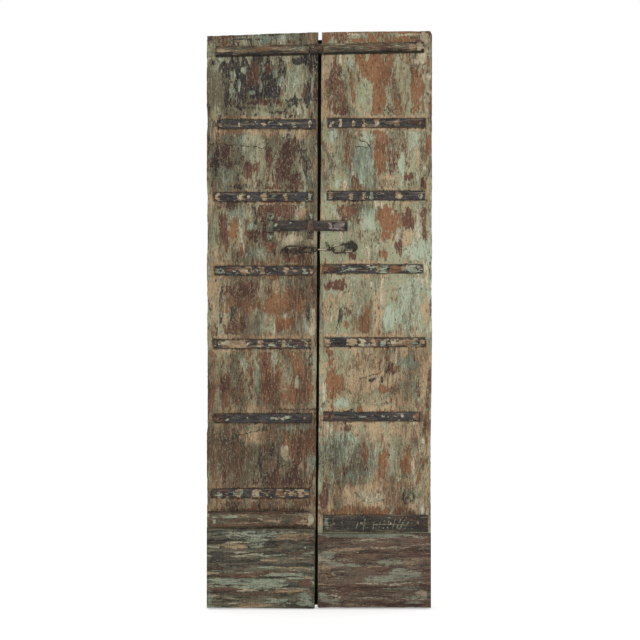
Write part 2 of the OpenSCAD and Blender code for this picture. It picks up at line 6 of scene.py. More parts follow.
import bpy
import numpy as np
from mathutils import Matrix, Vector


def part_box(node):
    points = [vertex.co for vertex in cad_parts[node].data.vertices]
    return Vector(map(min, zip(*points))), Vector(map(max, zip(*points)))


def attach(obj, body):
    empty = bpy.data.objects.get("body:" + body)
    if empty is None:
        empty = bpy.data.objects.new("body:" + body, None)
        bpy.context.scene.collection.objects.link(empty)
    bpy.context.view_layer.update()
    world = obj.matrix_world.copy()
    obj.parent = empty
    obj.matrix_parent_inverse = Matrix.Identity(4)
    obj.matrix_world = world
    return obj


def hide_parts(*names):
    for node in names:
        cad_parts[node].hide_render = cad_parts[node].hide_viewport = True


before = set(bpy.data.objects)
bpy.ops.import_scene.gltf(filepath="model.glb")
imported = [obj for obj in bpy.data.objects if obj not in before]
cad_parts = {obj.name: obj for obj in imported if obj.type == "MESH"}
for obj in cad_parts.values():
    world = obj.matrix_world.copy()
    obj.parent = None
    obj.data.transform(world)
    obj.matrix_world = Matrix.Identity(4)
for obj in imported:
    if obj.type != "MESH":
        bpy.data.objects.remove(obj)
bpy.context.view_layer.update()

# ---------------------------------------------------------------------------
# Planks. Seven softwood boards on end, butted together, and painted over and
# over for a century: sage on top, with mint, tan, ochre, maroon and black
# coats showing where it has been rubbed and scraped away.


def lattice(u, v, seed):
    """Smooth noise from 0 to 1 with one hashed number at each whole (u, v)."""
    iu, iv = np.floor(u).astype(np.int64), np.floor(v).astype(np.int64)
    fu, fv = u - iu, v - iv
    fu, fv = fu * fu * (3 - 2 * fu), fv * fv * (3 - 2 * fv)

    def corner(a, b):
        h = (a * 374761393 + b * 668265263 + seed * 974634777) & 0xFFFFFFFF
        h = ((h ^ (h >> 13)) * 1274126177) & 0xFFFFFFFF
        return ((h ^ (h >> 16)) & 0xFFFF) / 65535.0

    low = corner(iu, iv) * (1 - fu) + corner(iu + 1, iv) * fu
    high = corner(iu, iv + 1) * (1 - fu) + corner(iu + 1, iv + 1) * fu
    return low * (1 - fv) + high * fv


def cloudy(x, z, size_x, size_z, seed, octaves=4):
    """Layered noise from 0 to 1, with its largest spots size_x by size_z."""
    total, weight = 0.0, 0.0
    for k in range(octaves):
        total = total + lattice(x / size_x * 2**k, z / size_z * 2**k, seed + 17 * k) * 0.6**k
        weight += 0.6**k
    return np.clip((total / weight - 0.5) * 2.0 + 0.5, 0, 1)


def ease(value, low, high):
    """0 below low, 1 above high, and smooth between them."""
    t = np.clip((value - low) / (high - low), 0, 1)
    return t * t * (3 - 2 * t)


def box_mm(node):
    """Lowest and highest corner of a frame node, in millimetres."""
    low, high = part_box(node)
    return np.array(low) * 1000, np.array(high) * 1000


def points_mm(node):
    """All corners of a frame node, in millimetres."""
    return np.array([v.co[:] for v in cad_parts[node].data.vertices]) * 1000


def piece(name, skins, body, finish, nodes, fields=None):
    """One object skinned over rings of points, which stands for frame nodes.

    skins holds (rings, joined) pairs: joined rings meet their first again, and
    others are closed at both ends. fields are named numbers for each point.
    """
    points, quads, caps, base = [], [], [], 0
    for rings, joined in skins:
        n, m = rings.shape[:2]
        row = np.arange(n if joined else n - 1)[:, None] * m
        after = (row + m) % (n * m)
        j = np.arange(m)[None, :]
        k = (j + 1) % m
        quad = np.stack([row + j, row + k, after + k, after + j], -1).reshape(-1, 4)
        flat = rings.reshape(-1, 3)
        a, b, c = flat[quad[:, 0]], flat[quad[:, 1]], flat[quad[:, 2]]
        d = flat[quad[:, 3]]
        middle = flat.mean(0)
        volume = np.einsum("ij,ij->i", a - middle, np.cross(b - middle, c - middle)).sum()
        volume += np.einsum("ij,ij->i", a - middle, np.cross(c - middle, d - middle)).sum()
        ends = [] if joined else [np.arange(m)[::-1], (n - 1) * m + np.arange(m)]
        if volume < 0:
            quad, ends = quad[:, ::-1], [e[::-1] for e in ends]
        points.append(flat)
        quads.append(quad + base)
        caps += [e + base for e in ends]
        base += n * m
    points, quads = np.concatenate(points), np.concatenate(quads)
    sizes = np.concatenate([np.full(len(quads), 4), [len(c) for c in caps]]).astype(np.int32)
    corners = np.concatenate([quads.ravel(), *caps]).astype(np.int32)
    mesh = bpy.data.meshes.new(name)
    mesh.vertices.add(len(points))
    mesh.vertices.foreach_set("co", (points / 1000).astype(np.float32).ravel())
    mesh.loops.add(len(corners))
    mesh.loops.foreach_set("vertex_index", corners)
    mesh.polygons.add(len(sizes))
    mesh.polygons.foreach_set("loop_start", (np.cumsum(sizes) - sizes).astype(np.int32))
    mesh.polygons.foreach_set("loop_total", sizes)
    mesh.update(calc_edges=True)
    mesh.validate()
    mesh.shade_smooth()
    mesh.set_sharp_from_angle(angle=math.radians(50))
    for key, values in (fields or {}).items():
        made = mesh.attributes.new(key, "FLOAT", "POINT")
        made.data.foreach_set("value", np.asarray(values, np.float32).ravel())
    mesh.materials.append(finish)
    made = bpy.data.objects.new(name, mesh)
    bpy.context.scene.collection.objects.link(made)
    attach(made, body)
    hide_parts(*nodes)


class Socket:
    """A value, colour or vector in a material. + - * on values add Math nodes."""

    def __init__(self, tree, link=None):
        self.tree, self.link = tree, link

    def node(self, kind, settings, inputs, out=0):
        """Adds a node, sets its settings and then its sockets, and gives one output."""
        made = self.tree.nodes.new(kind)
        for key, value in settings.items():
            setattr(made, key, value)
        for key, value in inputs.items():
            if isinstance(value, Socket):
                self.tree.links.new(value.link, made.inputs[key])
            else:
                made.inputs[key].default_value = value
        return Socket(self.tree, made.outputs[out] if made.outputs else None)

    def math(self, operation, first, second):
        return self.node("ShaderNodeMath", {"operation": operation}, {0: first, 1: second})

    def __add__(self, other):
        return self.math("ADD", self, other)

    def __sub__(self, other):
        return self.math("SUBTRACT", self, other)

    def __rsub__(self, other):
        return self.math("SUBTRACT", other, self)

    def __mul__(self, other):
        return self.math("MULTIPLY", self, other)

    __radd__, __rmul__ = __add__, __mul__

    def between(self, low, high):
        """0 below low and 1 above high, smooth between them."""
        return self.node("ShaderNodeMapRange", {"interpolation_type": "SMOOTHSTEP"},
                         {0: self, 1: low, 2: high})

    def field(self, name):
        return self.node("ShaderNodeAttribute", {"attribute_name": name}, {}, "Fac")

    def stretched(self, x, y, z):
        """This vector with each axis multiplied."""
        return self.node("ShaderNodeVectorMath", {"operation": "MULTIPLY"}, {0: self, 1: (x, y, z)})

    def noise(self, scale, detail=3.0, rough=0.6):
        """Noise of about 0.2 to 0.8 at this vector."""
        return self.node("ShaderNodeTexNoise", {},
                         {"Vector": self, "Scale": scale, "Detail": detail, "Roughness": rough})

    def mix(self, first, second):
        """Two colours mixed by this value."""
        return self.node("ShaderNodeMix", {"data_type": "RGBA"}, {0: self, 6: first, 7: second}, 2)


def empty_material(name):
    """A material with no nodes yet, and a Socket that starts its tree."""
    made = bpy.data.materials.new(name)
    made.use_nodes = True
    made.node_tree.nodes.clear()
    return made, Socket(made.node_tree)


def paint(red, green, blue):
    """A paint card's colour, 0 to 255, as a shader colour."""
    return tuple(
        (c / 255 / 12.92 if c < 10.3 else ((c / 255 + 0.055) / 1.055) ** 2.4) for c in (red, green, blue)
    ) + (1.0,)


# Each coat in its darker and its lighter state, in the order they cover. Where
# none shows, the ground coat does, which the rows of marks below call sage.
coats = {
    "mint": (paint(110, 121, 104), paint(188, 198, 172)),
    "tan": (paint(120, 94, 69), paint(202, 176, 140)),
    "ochre": (paint(94, 60, 40), paint(152, 108, 76)),
    "maroon": (paint(62, 38, 33), paint(112, 76, 62)),
    "char": (paint(25, 24, 27), paint(66, 64, 62)),
    "green": (paint(30, 44, 36), paint(62, 78, 62)),
    "cream": (paint(168, 152, 122), paint(218, 206, 178)),
}
# How fine each coat's edge is where it breaks off, as the scale of its noise.
coat_break = {"mint": 150, "tan": 185, "ochre": 130, "maroon": 210, "char": 240, "green": 200, "cream": 265}


def layered_paint(name, ground, along, shown=tuple(coats), ribs=0.0, metal=0.0, back=None, bite=1.0,
                  dirt=0.8, veil=0.0, cards=coats):
    """Old paint: a ground coat, with the other coats where the piece's fields say.

    along is the axis that the grain and the brush followed, "x" or "z". bite is how
    ragged the coats' edges are, dirt is how much dark and pale speckle there is, and
    veil is how far a thin last coat of the ground colour dulls them. cards gives the
    coats their colours.
    """
    made, start = empty_material(name)
    place = start.node("ShaderNodeTexCoord", {}, {}, "Object")
    if along == "x":
        drawn = place.stretched(0.12, 1, 1)
    else:
        drawn = place.stretched(1, 1, 0.12)
    streak = drawn.noise(330, 4, 0.62)
    broad = drawn.noise(95, 4, 0.62)
    fleck = place.noise(300, 4, 0.68)
    patch = place.noise(80, 5, 0.66)
    ragged = (streak * 0.6 + fleck * 0.8 + broad * 0.6 - 1.0) * bite
    mild = place.stretched(0.35, 1, 1) if along == "x" else place.stretched(1, 1, 0.35)
    shade = streak * 0.65 + broad * 0.65 + fleck * 0.35 + patch * 0.4 - 1.025
    shade = (shade + start.field("tone")).between(0.34, 0.66)
    colour = shade.mix(*ground)
    height = streak * 0.6 + fleck * 0.3
    for key in shown:
        own = (mild.noise(coat_break[key], 4, 0.7) - 0.5) * (1.9 * bite)
        cover = (start.field(key) + ragged + own).between(0.4, 0.6)
        colour = cover.mix(colour, shade.mix(*cards[key]))
        # Along the broken edge of the mint, tan, ochre and cream coats a thin dark rim is painted: painted
        # shade that the chipped edge of the coat casts.
        if key in ("mint", "tan", "ochre", "cream"):
            colour = (cover * (1.0 - cover) * 1.9).mix(colour, paint(50, 41, 36))
        if key in ("mint", "tan", "cream"):
            height = height + cover * 0.5
        else:
            height = height - cover * 0.5
    if veil:
        thin = (streak + broad - 0.5).between(0.3, 0.62)
        colour = (thin * veil + 0.3 * veil).mix(colour, shade.mix(*ground))
    stain = (start.field("stain") + (broad - 0.5) * 1.6 + (patch - 0.5) * 1.6 - 0.1).between(0.1, 0.8)
    colour = (stain * 0.62).mix(colour, shade.mix(paint(84, 56, 40), paint(128, 94, 66)))
    if back:
        old = (broad + streak * 0.7 + start.field("tone") - 0.9).between(0.2, 0.75).mix(*back)
        colour = start.field("face").between(0.3, 0.7).mix(old, colour)
    pits = (fleck * 0.6 + place.noise(900, 2, 0.5) * 0.5).between(0.66, 0.74)
    dust = place.noise(620, 2, 0.6).between(0.6, 0.7)
    fine = drawn.stretched(1, 1, 0.5) if along == "z" else drawn.stretched(0.5, 1, 1)
    scuff, graze = fine.noise(150, 4, 0.7), fine.noise(190, 4, 0.7)
    colour = (scuff.between(0.56, 0.68) * 0.4 + dust * 0.35).mix(colour, paint(198, 180, 146))
    colour = (graze.between(0.56, 0.7) * 0.5).mix(colour, paint(62, 50, 42))
    chalk, soil = mild.noise(270, 4, 0.7), mild.noise(225, 4, 0.72)
    colour = (chalk.between(0.57, 0.66) * (0.7 * dirt)).mix(colour, paint(204, 190, 160))
    gather = (patch + broad * 0.5).between(0.66, 0.9)
    colour = (soil.between(0.53, 0.62) * gather * (1.2 * dirt)).mix(colour, paint(62, 48, 41))
    # This field darkens towards near-black: dirt and dark seams, and also painted shade in the gaps between
    # planks, under the top bead and along the irons' edges.
    grime_and_shade = (start.field("grime_and_shade") + ragged * 0.5).between(0.1, 0.95)
    if ribs:
        comb = place.stretched(1, 1, 0.05).noise(330, 2, 0.5) if along == "x" else streak
        combed = comb.between(0.5, 0.66) * patch.between(0.4, 0.56)
        colour = (combed * ribs).mix(colour, paint(52, 46, 40))
        height = height - comb.between(0.5, 0.7) * 0.5
    colour = (grime_and_shade * 0.85 + pits * 0.5).mix(colour, paint(26, 22, 20))
    height = height - pits * 0.4
    normal = start.node("ShaderNodeBump", {}, {"Strength": 0.75, "Distance": 0.0009, "Height": height})
    surface = start.node("ShaderNodeBsdfPrincipled", {}, {
        "Base Color": colour, "Roughness": 0.68 + shade * 0.2, "Normal": normal, "Metallic": metal,
        "Specular IOR Level": 0.3})
    start.node("ShaderNodeOutputMaterial", {}, {"Surface": surface})
    return made


# Straps on each leaf, from the top, divide its face into the fields between
# them. A field's marks are placed by u, across the leaf, and v, up the field,
# both in hundredths, as (coat, u, v, half width, half height, lean, amount).
leaf_strap = {"left": [6, 5, 4, 3, 2, 1], "right": [6, 5, 4, 3, 2]}
daubs = {
    "left": [
        # above the bead
        [("maroon", 16, 45, 20, 60, 0, .45), ("mint", 60, 60, 26, 30, 0, .5), ("tan", 95, 50, 5, 45, 0, .8),
         ("char", 24, 62, 20, 8, 0, .6), ("char", 30, 34, 22, 7, 0, .6), ("char", 60, 70, 10, 8, 20, .6),
         ("char", 2, 60, 3, 40, 0, .8)],
        # between the bead and the top strap
        [("maroon", 50, 60, 44, 45, 0, .4), ("char", 42, 60, 32, 42, 0, 1), ("mint", 34, 79, 3, 8, 0, .8),
         ("mint", 62, 73, 3, 9, 0, .8),
         ("mint", 68, 62, 3, 8, 0, .8), ("mint", 50, 54, 2, 9, 0, .8), ("mint", 22, 42, 4, 12, 0, .7),
         ("mint", 41, 43, 5, 5, 0, .7), ("mint", 24, 76, 2, 14, 0, .8), ("mint", 30, 55, 2, 8, 0, .8),
         ("maroon", 43, 70, 7, 19, 0, .98), ("maroon", 57, 80, 3, 9, 0, .9),
         ("maroon", 52, 29, 17, 7, 0, .85),
         ("char", 80, 32, 9, 3, 0, .75), ("char", 7, 91, 5, 7, 0, .8), ("sage", 79, 61, 8, 26, 0, 1),
         ("mint", 80, 60, 6, 20, 0, .5), ("char", 87, 92, 12, 6, 0, .75), ("char", 92, 32, 3, 29, 0, .75),
         ("sage", 50, 15, 50, 9, 0, .75), ("char", 30, 20, 16, 3, -4, .6), ("char", 66, 13, 14, 3, 3, .6),
         ("sage", 8, 50, 7, 50, 0, .8), ("tan", 20, 70, 4, 20, 0, .35), ("tan", 50, 2, 48, 4, 0, .9),
         ("char", 22, 86, 12, 8, 0, .7)],
        [("maroon", 50, 50, 46, 50, 0, .26), ("mint", 45, 55, 24, 30, 0, .3), ("tan", 50, 95, 48, 6, 0, .75),
         ("tan", 85, 92, 6, 9, 0, .9), ("maroon", 16, 60, 5.5, 12, 0, .85), ("char", 8.5, 51, 2, 21, 0, .8),
         ("maroon", 37.5, 38, 4, 13, 0, .85), ("maroon", 57, 55, 3.6, 19, 0, .8),
         ("maroon", 70, 44, 6.5, 40, 10, 1),
         ("maroon", 81, 19, 5, 14, 0, .8), ("maroon", 63, 6, 22, 3.5, 0, .8), ("char", 29, 9, 13, 5, 0, .55),
         ("mint", 20, 28, 8, 14, 0, .5), ("char", 88, 50, 5, 30, -14, .5), ("cream", 49, 72, 3, 6, 0, .5)],
        [("maroon", 50, 50, 46, 50, 0, .32), ("sage", 6, 50, 5, 45, 0, .9), ("maroon", 16, 62, 5, 24, 0, .9),
         ("ochre", 25, 56, 5, 17, 0, .95), ("mint", 28, 82, 11, 9, 0, .7),
         ("cream", 31.7, 50, 2, 27, -4, .85),
         ("maroon", 65, 87, 18, 13, 0, .9), ("tan", 86, 80, 5, 10, 0, .8), ("mint", 41, 62, 8, 6, 0, .8),
         ("maroon", 43, 48, 6, 9, 0, .65), ("cream", 79, 41, 17, 11, 0, .85),
         ("ochre", 58.5, 30, 6, 10, 0, .85),
         ("maroon", 82, 13, 14, 8, 0, .85), ("mint", 44, 17, 9, 10, 0, .6), ("char", 78, 21, 17, 7, 0, .8),
         ("ochre", 14, 20, 8, 16, 0, .4), ("char", 78, 22, 13, 4, 0, .55)],
        [("mint", 50, 50, 50, 50, 0, .3), ("maroon", 32, 64, 18, 32, 0, .88),
         ("char", 13, 57, 2, 30, 0, .85),
         ("ochre", 31, 53, 17, 16, 0, .7), ("mint", 45.5, 44, 1.8, 17, 0, .9),
         ("char", 76, 88, 22, 11, 0, .5),
         ("mint", 70, 90, 14, 8, 0, .45), ("ochre", 68.5, 55, 21, 21, 0, 1), ("ochre", 70, 27, 8, 13, 0, 1),
         ("tan", 63.4, 86, 3, 13, 0, .9), ("sage", 47, 24, 10, 18, 0, .9), ("mint", 47, 22, 8, 17, 0, .6),
         ("mint", 88, 22, 6, 17, 0, .8), ("cream", 96.5, 28, 2, 25, 0, .9), ("char", 93, 42, 2.6, 15, 0, .7),
         ("maroon", 25, 19, 8, 15, 0, .75), ("tan", 6, 45, 4, 45, 0, .4), ("tan", 55, 3, 45, 4, 0, .85),
         ("char", 24, 42, 3, 12, 0, .55)],
        [("maroon", 28, 50, 12, 44, 0, .62), ("ochre", 50, 50, 46, 50, 0, .3),
         ("ochre", 5, 26, 5, 22, 0, .95),
         ("maroon", 16, 32, 3, 26, 0, .9), ("mint", 10.5, 24, 2.4, 20, 0, .8), ("tan", 7, 76, 5, 18, 0, .5),
         ("mint", 33.5, 79, 3.4, 15, 0, .6), ("mint", 47.5, 54, 2, 26, 0, .85),
         ("mint", 61, 76, 3, 21, 0, .85),
         ("tan", 72, 60, 5, 33, 0, .75), ("mint", 72, 70, 4, 22, 0, .5), ("ochre", 56, 48, 6, 30, 0, .9),
         ("ochre", 86, 64, 6.5, 33, -24, .95), ("ochre", 79, 27, 7.5, 18, 0, .95),
         ("cream", 82, 48, 2, 9, 0, .9),
         ("char", 93, 70, 4, 20, 0, .5), ("tan", 65, 8, 33, 7, 0, .7), ("maroon", 76, 5, 23, 2.5, 0, .8)],
        [("mint", 50, 60, 50, 40, 0, .3), ("green", 18, 76, 12, 14, 0, .6),
         ("green", 30, 73, 2.2, 10, 0, .8),
         ("green", 39, 62, 1.8, 9, 0, .8), ("tan", 46, 80, 15, 12, 12, .85), ("mint", 78, 93, 20, 6, 0, .8),
         ("ochre", 85, 65, 14, 24, 0, .92), ("maroon", 83, 52, 3.2, 30, 6, .95),
         ("maroon", 78, 25, 5, 7, 0, .9),
         ("mint", 93, 36, 5, 20, 0, .8), ("char", 62, 42, 13, 18, 0, .42),
         ("cream", 70.5, 53, 3.6, 11, 0, .8),
         ("tan", 57, 35, 6, 8, 0, .6), ("maroon", 28, 40, 12, 24, 0, .5), ("ochre", 30, 42, 8, 18, 0, .4),
         ("tan", 7, 40, 6, 44, 0, .4), ("maroon", 60, 13, 26, 11, 0, .62), ("cream", 84, 33, 1.6, 5, 20, .9),
         ("tan", 40, 12, 18, 9, 0, .35)],
        [("tan", 50, 50, 50, 60, 0, .62), ("maroon", 46, 60, 5, 40, 0, .8), ("maroon", 50, 8, 48, 14, 0, .8),
         ("ochre", 85, 55, 12, 40, 0, .6), ("maroon", 22, 45, 14, 22, 0, .5)],
    ],
    "right": [
        [("ochre", 50, 50, 56, 70, 0, .85), ("ochre", 14, 50, 13, 60, 0, .85),
         ("maroon", 16, 40, 12, 50, 0, .6), ("mint", 36, 50, 9, 45, 0, .6),
         ("cream", 34, 55, 6, 25, 30, .5), ("cream", 30, 66, 10, 8, 20, .8),
         ("cream", 72, 60, 8, 12, 0, .7), ("cream", 84, 66, 7, 10, 0, .7),
         ("mint", 64, 55, 5, 30, 0, .5), ("char", 88, 40, 8, 12, 0, .6), ("cream", 95, 40, 4, 60, 0, .8),
         ("maroon", 58, 40, 10, 40, 0, .45)],
        [("maroon", 50, 50, 48, 50, 0, .25), ("tan", 5, 50, 4, 48, 0, .75), ("maroon", 15, 52, 8, 44, 0, .5),
         ("mint", 28, 84, 2.6, 12, 0, .8), ("ochre", 49, 77, 18, 26, 0, .97),
         ("ochre", 50, 28, 8, 26, 0, .9),
         ("sage", 41, 38, 6, 32, 0, .85), ("mint", 41, 40, 4, 24, 0, .4), ("sage", 75, 62, 6.5, 36, 0, .95),
         ("ochre", 87, 50, 5.5, 36, 0, .9), ("maroon", 18, 11, 7, 9, 0, .85),
         ("cream", 93, 98, 5, 13, 0, .9),
         ("cream", 88, 90, 5, 5, 0, .8), ("tan", 50, 2, 46, 3, 0, .7),
         ("char", 62, 14, 6, 6, 0, .4), ("maroon", 66, 62, 3, 24, 0, .5)],
        [("mint", 50, 50, 48, 50, 0, .25), ("ochre", 24, 71, 3.4, 25, 0, .9),
         ("mint", 39, 50, 12, 46, 0, .8),
         ("ochre", 54, 57, 6.5, 33, 0, .95), ("maroon", 72, 50, 12, 45, 0, .5),
         ("maroon", 79, 24, 5, 7, 0, .85),
         ("mint", 84, 82, 5, 16, 0, .75), ("mint", 73, 35, 2.4, 24, 0, .8), ("cream", 94.6, 38, 2, 4, 0, .9),
         ("tan", 61, 16, 9, 12, 0, .8), ("ochre", 62, 12, 7, 8, 0, .4), ("tan", 50, 98, 46, 3, 0, .6),
         ("maroon", 92, 60, 3, 30, 0, .45), ("maroon", 12, 40, 5, 30, 0, .4)],
        [("mint", 50, 50, 48, 50, 0, .22), ("maroon", 25, 83, 12, 14, 0, .8),
         ("ochre", 27, 82, 8, 9, 0, .55),
         ("mint", 14, 84, 3.2, 7, 0, .8), ("mint", 44, 70, 6, 17, 0, .8),
         ("ochre", 61, 68, 10.5, 28, 0, .95),
         ("maroon", 79, 70, 5, 17, 0, .85), ("maroon", 92, 58, 3.2, 30, 0, .8),
         ("mint", 84, 20, 14, 15, 0, .7),
         ("sage", 16, 30, 14, 22, 0, .8), ("maroon", 70, 27, 3.6, 14, 0, .8),
         ("ochre", 57, 16, 3.2, 11, 0, .8),
         ("tan", 40, 3, 36, 4, 0, .7), ("maroon", 42, 38, 6, 8, 0, .4), ("char", 23, 20, 11, 4, 0, .45),
         ("char", 28, 27, 8, 8, 0, .6), ("char", 9, 31, 4, 12, 0, .55)],
        [("mint", 50, 50, 48, 50, 0, .42), ("maroon", 13, 82, 12, 9, 0, .92), ("tan", 24, 40, 20, 36, 0, .3),
         ("maroon", 23, 43, 5.5, 10, 0, .62), ("ochre", 24, 20, 4.4, 7, 0, .8),
         ("ochre", 42, 27, 5, 17, 0, .85),
         ("tan", 54, 46, 4.8, 44, 5, .92), ("cream", 55, 60, 1.6, 30, 4, .6),
         ("ochre", 67, 68, 4, 16, 0, .62),
         ("tan", 67, 72, 4, 12, 0, .5), ("mint", 61, 30, 5, 22, 0, .9), ("mint", 80, 40, 11, 40, 0, .82),
         ("tan", 82, 40, 9, 34, 0, .3), ("tan", 93, 45, 3, 46, 0, .75), ("cream", 48, 97, 2, 3, 0, .8),
         ("char", 17, 24, 2, 20, 14, .6), ("tan", 50, 3, 46, 4, 0, .75)],
        [("tan", 50, 50, 56, 56, 0, .72), ("ochre", 14, 45, 8.5, 19, 0, .8),
         ("ochre", 36, 78, 17, 17, 0, .36),
         ("char", 45.5, 49, 2.4, 2.4, 0, 1), ("char", 56, 51, 1.7, 4, 0, 1),
         ("maroon", 67, 68, 7, 10, 0, .85), ("ochre", 70, 70, 3.6, 6, 0, .9),
         ("mint", 80, 76, 13, 13, 0, .62), ("mint", 80, 40, 10, 24, 0, .45), ("char", 89, 38, 4, 18, 0, .5),
         ("ochre", 62, 34, 10, 9, 20, .65), ("mint", 20.5, 15, 6.5, 9, 0, .85),
         ("mint", 48, 22, 14, 10, 0, .35),
         ("maroon", 57, 12, 7.5, 3.4, 0, .6), ("maroon", 3, 8, 4, 12, 0, .6), ("tan", 93, 50, 4, 50, 0, .6),
         ("maroon", 97, 30, 2, 40, 0, .6)],
        [("tan", 50, 50, 54, 54, 0, .5), ("mint", 40, 62, 40, 30, 0, .45), ("mint", 14, 70, 13, 20, 0, .5),
         ("char", 10, 62, 8, 16, 0, .36), ("maroon", 24, 92, 4, 4.5, 0, .75),
         ("maroon", 36, 58, 10, 17, 24, .42),
         ("ochre", 55, 52, 4.8, 23, 0, .92), ("ochre", 42, 67, 3, 12, 0, .75),
         ("ochre", 79, 56, 6, 15, 14, .8),
         ("tan", 68, 90, 30, 9, 0, .5), ("tan", 55, 19, 46, 16, 0, .97), ("cream", 48, 20, 16, 6, 0, .5),
         ("cream", 80, 26, 10, 4, 8, .45), ("green", 82, 20, 9, 6, 0, .5),
         ("maroon", 4, 16, 4.5, 15, 0, .85),
         ("ochre", 40, 4, 38, 5, 0, .97), ("mint", 28, 36, 16, 6, -20, .45)],
    ],
}
# Scratches and cracks, as (field, coat, u, v, to u, to v, width in mm, amount).
scores = {
    "left": [
        (1, "char", 68, 90, 72, 40, 4, .7), (1, "char", 26, 10, 44, 8, 4, .8),
        (1, "char", 52, 16, 74, 19, 4, .7),
        (2, "char", 3, 76, 54, 71, 4, .9), (2, "char", 54, 71, 57, 82, 4, .9),
        (2, "char", 82, 76, 92, 20, 4, .7),
        (2, "char", 86, 70, 82, 30, 3, .6), (3, "char", 50, 96, 60, 70, 3, .5),
        (5, "char", 16, 82, 11.5, 64, 6, 1),
        (5, "char", 11.5, 64, 15, 45, 7, 1), (5, "char", 86, 94, 91, 60, 4, .8),
        (6, "green", 6, 71, 62, 97, 4, .9),
        (6, "green", 5, 80, 27, 92, 4, .8), (6, "green", 9, 64, 26, 80, 5, .8),
        (6, "green", 14, 62, 18, 84, 4, .8),
        (6, "char", 60, 96, 82, 98, 3, .5), (7, "char", 44, 90, 48, 20, 4, .7)],
    "right": [
        (1, "tan", 24, 31, 47, 2, 9, .9), (2, "char", 27, 88, 49, 65, 3.5, .9),
        (2, "char", 26, 77, 40, 65, 3.5, .9),
        (2, "char", 38, 77, 48, 63, 3, .8), (1, "char", 80, 84, 90, 81, 4, .9),
        (1, "char", 90, 81, 98, 92, 4, .9), (4, "char", 18, 45, 12.5, 3, 5, .9),
        (4, "maroon", 51, 88, 54, 4, 3, .7), (5, "maroon", 53.5, 95, 55, 80, 4, .9),
        (5, "maroon", 55, 80, 53, 69, 4, .9), (5, "maroon", 36, 52, 52, 58, 4, .9),
        (5, "maroon", 9, 17, 14, 26, 4, .8), (5, "maroon", 31, 6, 37, 21, 4, .8),
        (5, "char", 7, 84, 12, 76, 4, .7),
        (6, "green", 31, 22, 45, 14, 4, .8), (6, "green", 45, 14, 58, 17, 4, .7),
        (6, "green", 60, 28, 66, 22, 4, .7), (6, "mint", 23, 56, 34, 84, 5, .7),
        (6, "char", 20, 40, 28, 70, 4, .4)],
}
# The share of each field, from the top down, on which each coat shows through.
coat_order = ("mint", "tan", "ochre", "maroon", "char", "cream")
shares = {
    "left": [(.24, .24, .1, .3, .1, .03), (.24, .1, .06, .14, .28, .03), (.3, .22, .08, .2, .16, .05),
             (.14, .3, .24, .22, .04, .05), (.12, .3, .28, .2, .05, .05), (.1, .26, .34, .24, .08, .03),
             (.12, .24, .3, .26, .1, .03), (.02, .34, .36, .28, .06, .02)],
    "right": [(.06, .16, .5, .16, .02, .14), (.2, .26, .26, .08, .01, .06), (.24, .3, .16, .08, .01, .1),
              (.22, .34, .14, .06, .01, .14), (.24, .38, .1, .05, .01, .16), (.12, .5, .2, .08, .01, .14),
              (.16, .46, .2, .1, .02, .1)],
}
# How light each field's coats are, from 0 to 1, from the top down.
tones = {"left": (.34, .34, .45, .47, .59, .46, .44, .48), "right": (.6, .6, .59, .66, .61, .6, .53)}
# How brown each field is stained, the same way.
stains = {"left": (.2, .14, .28, .46, .5, .6, .7, .6), "right": (.5, .42, .34, .2, .2, .3, .3)}
leaf_edge = {"left": (-395.0, -8.0), "right": (0.0, 395.0)}
leaf_head = 2024.0
# Side faces nearer the middle than this are painted dark as shade in the gaps.
outer_rim = 388  # beyond this a side face is the pair's outside, not a joint
bead_fillet = 36.0
# How far past a field's edges its daubs and its spots reach, in hundredths of it.
daub_over, spot_over = 22, 12


def leaf_fields(side):
    """The heights that part one leaf's face into fields, from the top down."""
    bead_low, bead_high = box_mm(side + "_top_bead")
    edges = [(bead_high[2], leaf_head)]
    top = bead_low[2]
    for number in leaf_strap[side]:
        low, high = box_mm(f"{side}_strap_{number}")
        edges.append((high[2], top))
        top = low[2]
    foot = box_mm("left_kick_batten" if side == "left" else "right_kick_plate")[1][2]
    edges.append((foot, top))
    return edges


def spots(x, z, wide, tall, seed):
    """Streaky noise from 0 to 1, of small spots gathered into larger ones."""
    small, large = cloudy(x, z, wide, tall, seed), cloudy(x, z, wide * 3, tall * 2.4, seed + 7, 2)
    return 0.62 * small + 0.38 * large


# Many values of that noise in order, which turn a share of the face into a level.
ladder = np.linspace(0, 4000, 200)
rungs = ladder[:, None] + 0 * ladder
spread = np.sort(spots(rungs, rungs.T, 16, 70, 2).ravel())


def mottle(shown, at, x, z, portions, seed, wide=15, tall=62):
    """Lets each coat show on its portion of the face, in ragged spots."""
    for k, (coat, portion) in enumerate(zip(coat_order, portions)):
        if portion == 0:
            continue
        level = spread[int((1 - portion) * (len(spread) - 1))]
        cover = ease(spots(x[at], z[at], wide, tall, seed + 31 * k), level - 0.17, level + 0.17) * 0.95
        for key in coats:
            shown[key][at] *= 1 - cover
        shown[coat][at] += cover


def daub(shown, at, u, v, torn, rows):
    """Lays rows of daubs, at the points with these indices, over what is shown."""
    for coat, cu, cv, du, dv, lean, amount in rows:
        across = np.abs(u - cu - lean * (v - cv) / 100) / du
        up = np.abs(v - cv) / dv
        reach = (across**2.4 + up**2.4) ** (1 / 2.4)
        near = reach < 2.2
        cover = ease(1.5 * (1 - reach[near]) + 2.1 * (torn[near] - 0.5), -0.35, 0.6) * amount
        for key in coats:
            shown[key][at[near]] *= 1 - cover
        if coat in coats:
            shown[coat][at[near]] += cover


